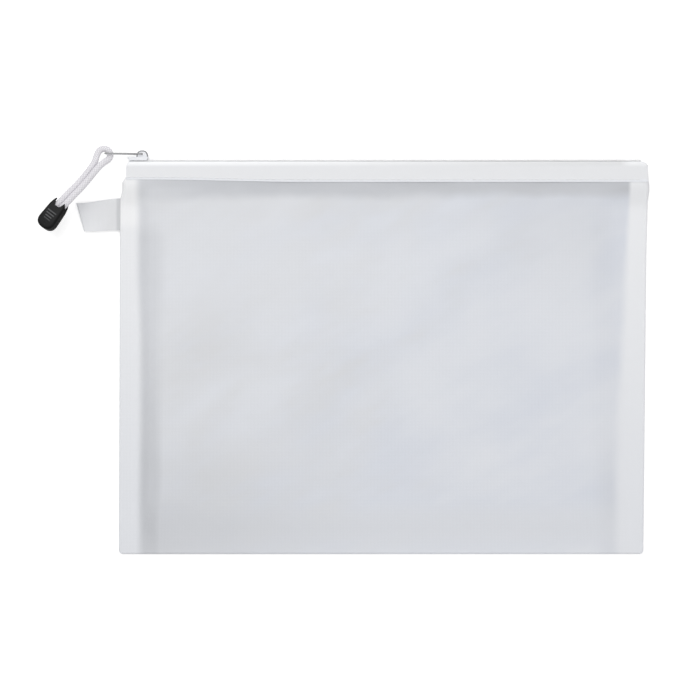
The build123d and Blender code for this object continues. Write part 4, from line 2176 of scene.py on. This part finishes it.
@dataclass
class Studio:
    """A pale floor, soft light and the camera straight above."""

    view_centre: Flat = (-21.1 * MM, 5.0 * MM)
    view_width: float = 447.3 * MM
    camera_height: float = 2.4
    sensor: float = 36.0
    floor_size: float = 6.0
    floor_drop: float = 0.5 * MM
    floor_level: float = 0.82
    floor_roughness: float = 0.9
    floor_glow: float = 0.46
    world_level: float = 0.55
    key: Triple = (-0.45, 0.95, 1.15)
    key_size: float = 1.5
    key_power: float = 11.3
    fill: Triple = (0.9, -0.5, 1.4)
    fill_size: float = 1.2
    fill_power: float = 5.0

    def camera(self) -> None:
        """The camera, with a long lens, at the photograph's straight-down angle."""
        data = bpy.data.cameras.new("camera")
        data.sensor_width = self.sensor
        data.lens = self.sensor * self.camera_height / self.view_width
        data.clip_end = 4.0 * self.camera_height
        camera = bpy.data.objects.new("camera", data)
        camera.location = (*self.view_centre, self.camera_height)
        bpy.context.scene.collection.objects.link(camera)
        bpy.context.scene.camera = camera

    def lamp(self, name: str, place: Vector, size: float, power: float) -> None:
        """One large soft lamp that looks at the wallet's middle.

        Args:
            name: The lamp's name.
            place: Where it stands.
            size: Its diameter.
            power: Its power in watts.
        """
        data = bpy.data.lights.new(name, "AREA")
        data.shape = "DISK"
        data.size = size
        data.energy = power
        lamp = bpy.data.objects.new(name, data)
        lamp.location = place
        lamp.rotation_euler = (-place).to_track_quat("-Z", "Y").to_euler()
        bpy.context.scene.collection.objects.link(lamp)

    def seen_share(self, tree: bpy.types.NodeTree) -> Socket:
        """A share that is 1 for rays from the camera, through glass or off gloss.

        Args:
            tree: The nodes to add it to.

        Returns:
            The share's socket.
        """
        path = tree.nodes.new("ShaderNodeLightPath")
        total = path.outputs["Is Camera Ray"]
        for name in ("Is Glossy Ray", "Is Transmission Ray"):
            more = tree.nodes.new("ShaderNodeMath")
            more.operation = "MAXIMUM"
            tree.links.new(total, more.inputs[0])
            tree.links.new(path.outputs[name], more.inputs[1])
            total = more.outputs[0]
        return total

    def floor(self) -> None:
        """The floor, which reads as white and keeps the wallet's shadow."""
        half = self.floor_size / 2.0
        plan = ((-half, -half), (half, -half), (half, half), (-half, half))
        corners = [Vector((x, y, -self.floor_drop)) for x, y in plan]
        floor = new_piece("floor", corners, [(0, 1, 2, 3)])
        g = Graph("pale_floor")
        glow = Field(g, self.seen_share(g.tree)) * self.floor_glow
        g.set(Base_Color=grey(self.floor_level), Roughness=self.floor_roughness, Specular_IOR_Level=0.0)
        g.set(Emission_Color=grey(1.0), Emission_Strength=glow)
        floor.data.materials.append(g.material)

    def world(self) -> None:
        """Even light from all round, white where it is seen."""
        world = bpy.data.worlds.new("studio")
        bpy.context.scene.world = world
        world.use_nodes = True
        tree = world.node_tree
        background = tree.nodes["Background"]
        background.inputs["Color"].default_value = grey(1.0)
        level = tree.nodes.new("ShaderNodeMapRange")
        level.inputs["To Min"].default_value = self.world_level
        level.inputs["To Max"].default_value = 1.0
        tree.links.new(self.seen_share(tree), level.inputs["Value"])
        tree.links.new(level.outputs["Result"], background.inputs["Strength"])

    def build(self) -> None:
        """Sets up the whole studio."""
        bpy.context.scene.view_settings.view_transform = "Standard"
        self.camera()
        self.world()
        self.floor()
        self.lamp("key", Vector(self.key), self.key_size, self.key_power)
        self.lamp("fill", Vector(self.fill), self.fill_size, self.fill_power)


def report(pieces: Sequence[Piece]) -> None:
    """Logs each piece with its vertex count."""
    for piece in pieces:
        log.info("%s: %d vertices", piece.name, len(piece.data.vertices))


def main() -> None:
    """Builds the studio and every sub-assembly in order."""
    logging.basicConfig(level=logging.INFO, format="%(name)s: %(message)s")
    form = WalletForm.from_frame()
    Studio().build()
    hem_y = form.tape_low - form.tape_over
    weave = WovenTape("zip_tape_weave", *ZIP_GREYS, crest_y=form.zip_y, hem_y=hem_y).make()
    binding = WovenTape("binding_weave", *BINDING_GREYS, crest_y=form.zip_y).make()
    nylon, thread, braid = NYLON.make(), THREAD.make(), GrooveShadedCord("cord_braid").make()
    cord = CordPull()
    report([cord.build(braid), cord.knot(braid)])
    report(CordCap(cord).build())
    report(MeshSheet(form).build())
    for node in ("left_seam_binding", "right_seam_binding"):
        report([SeamBinding(form, node).build(binding)])
    report([SideTab(form).build()])
    for side in Side:
        report(ZipTape(form, side).build(weave))
        report(ZipCoil(form, side).build(nylon))
        report(StitchRow(form, side).build(thread))
    report(HardParts().build())


if __name__ == "__main__":
    main()
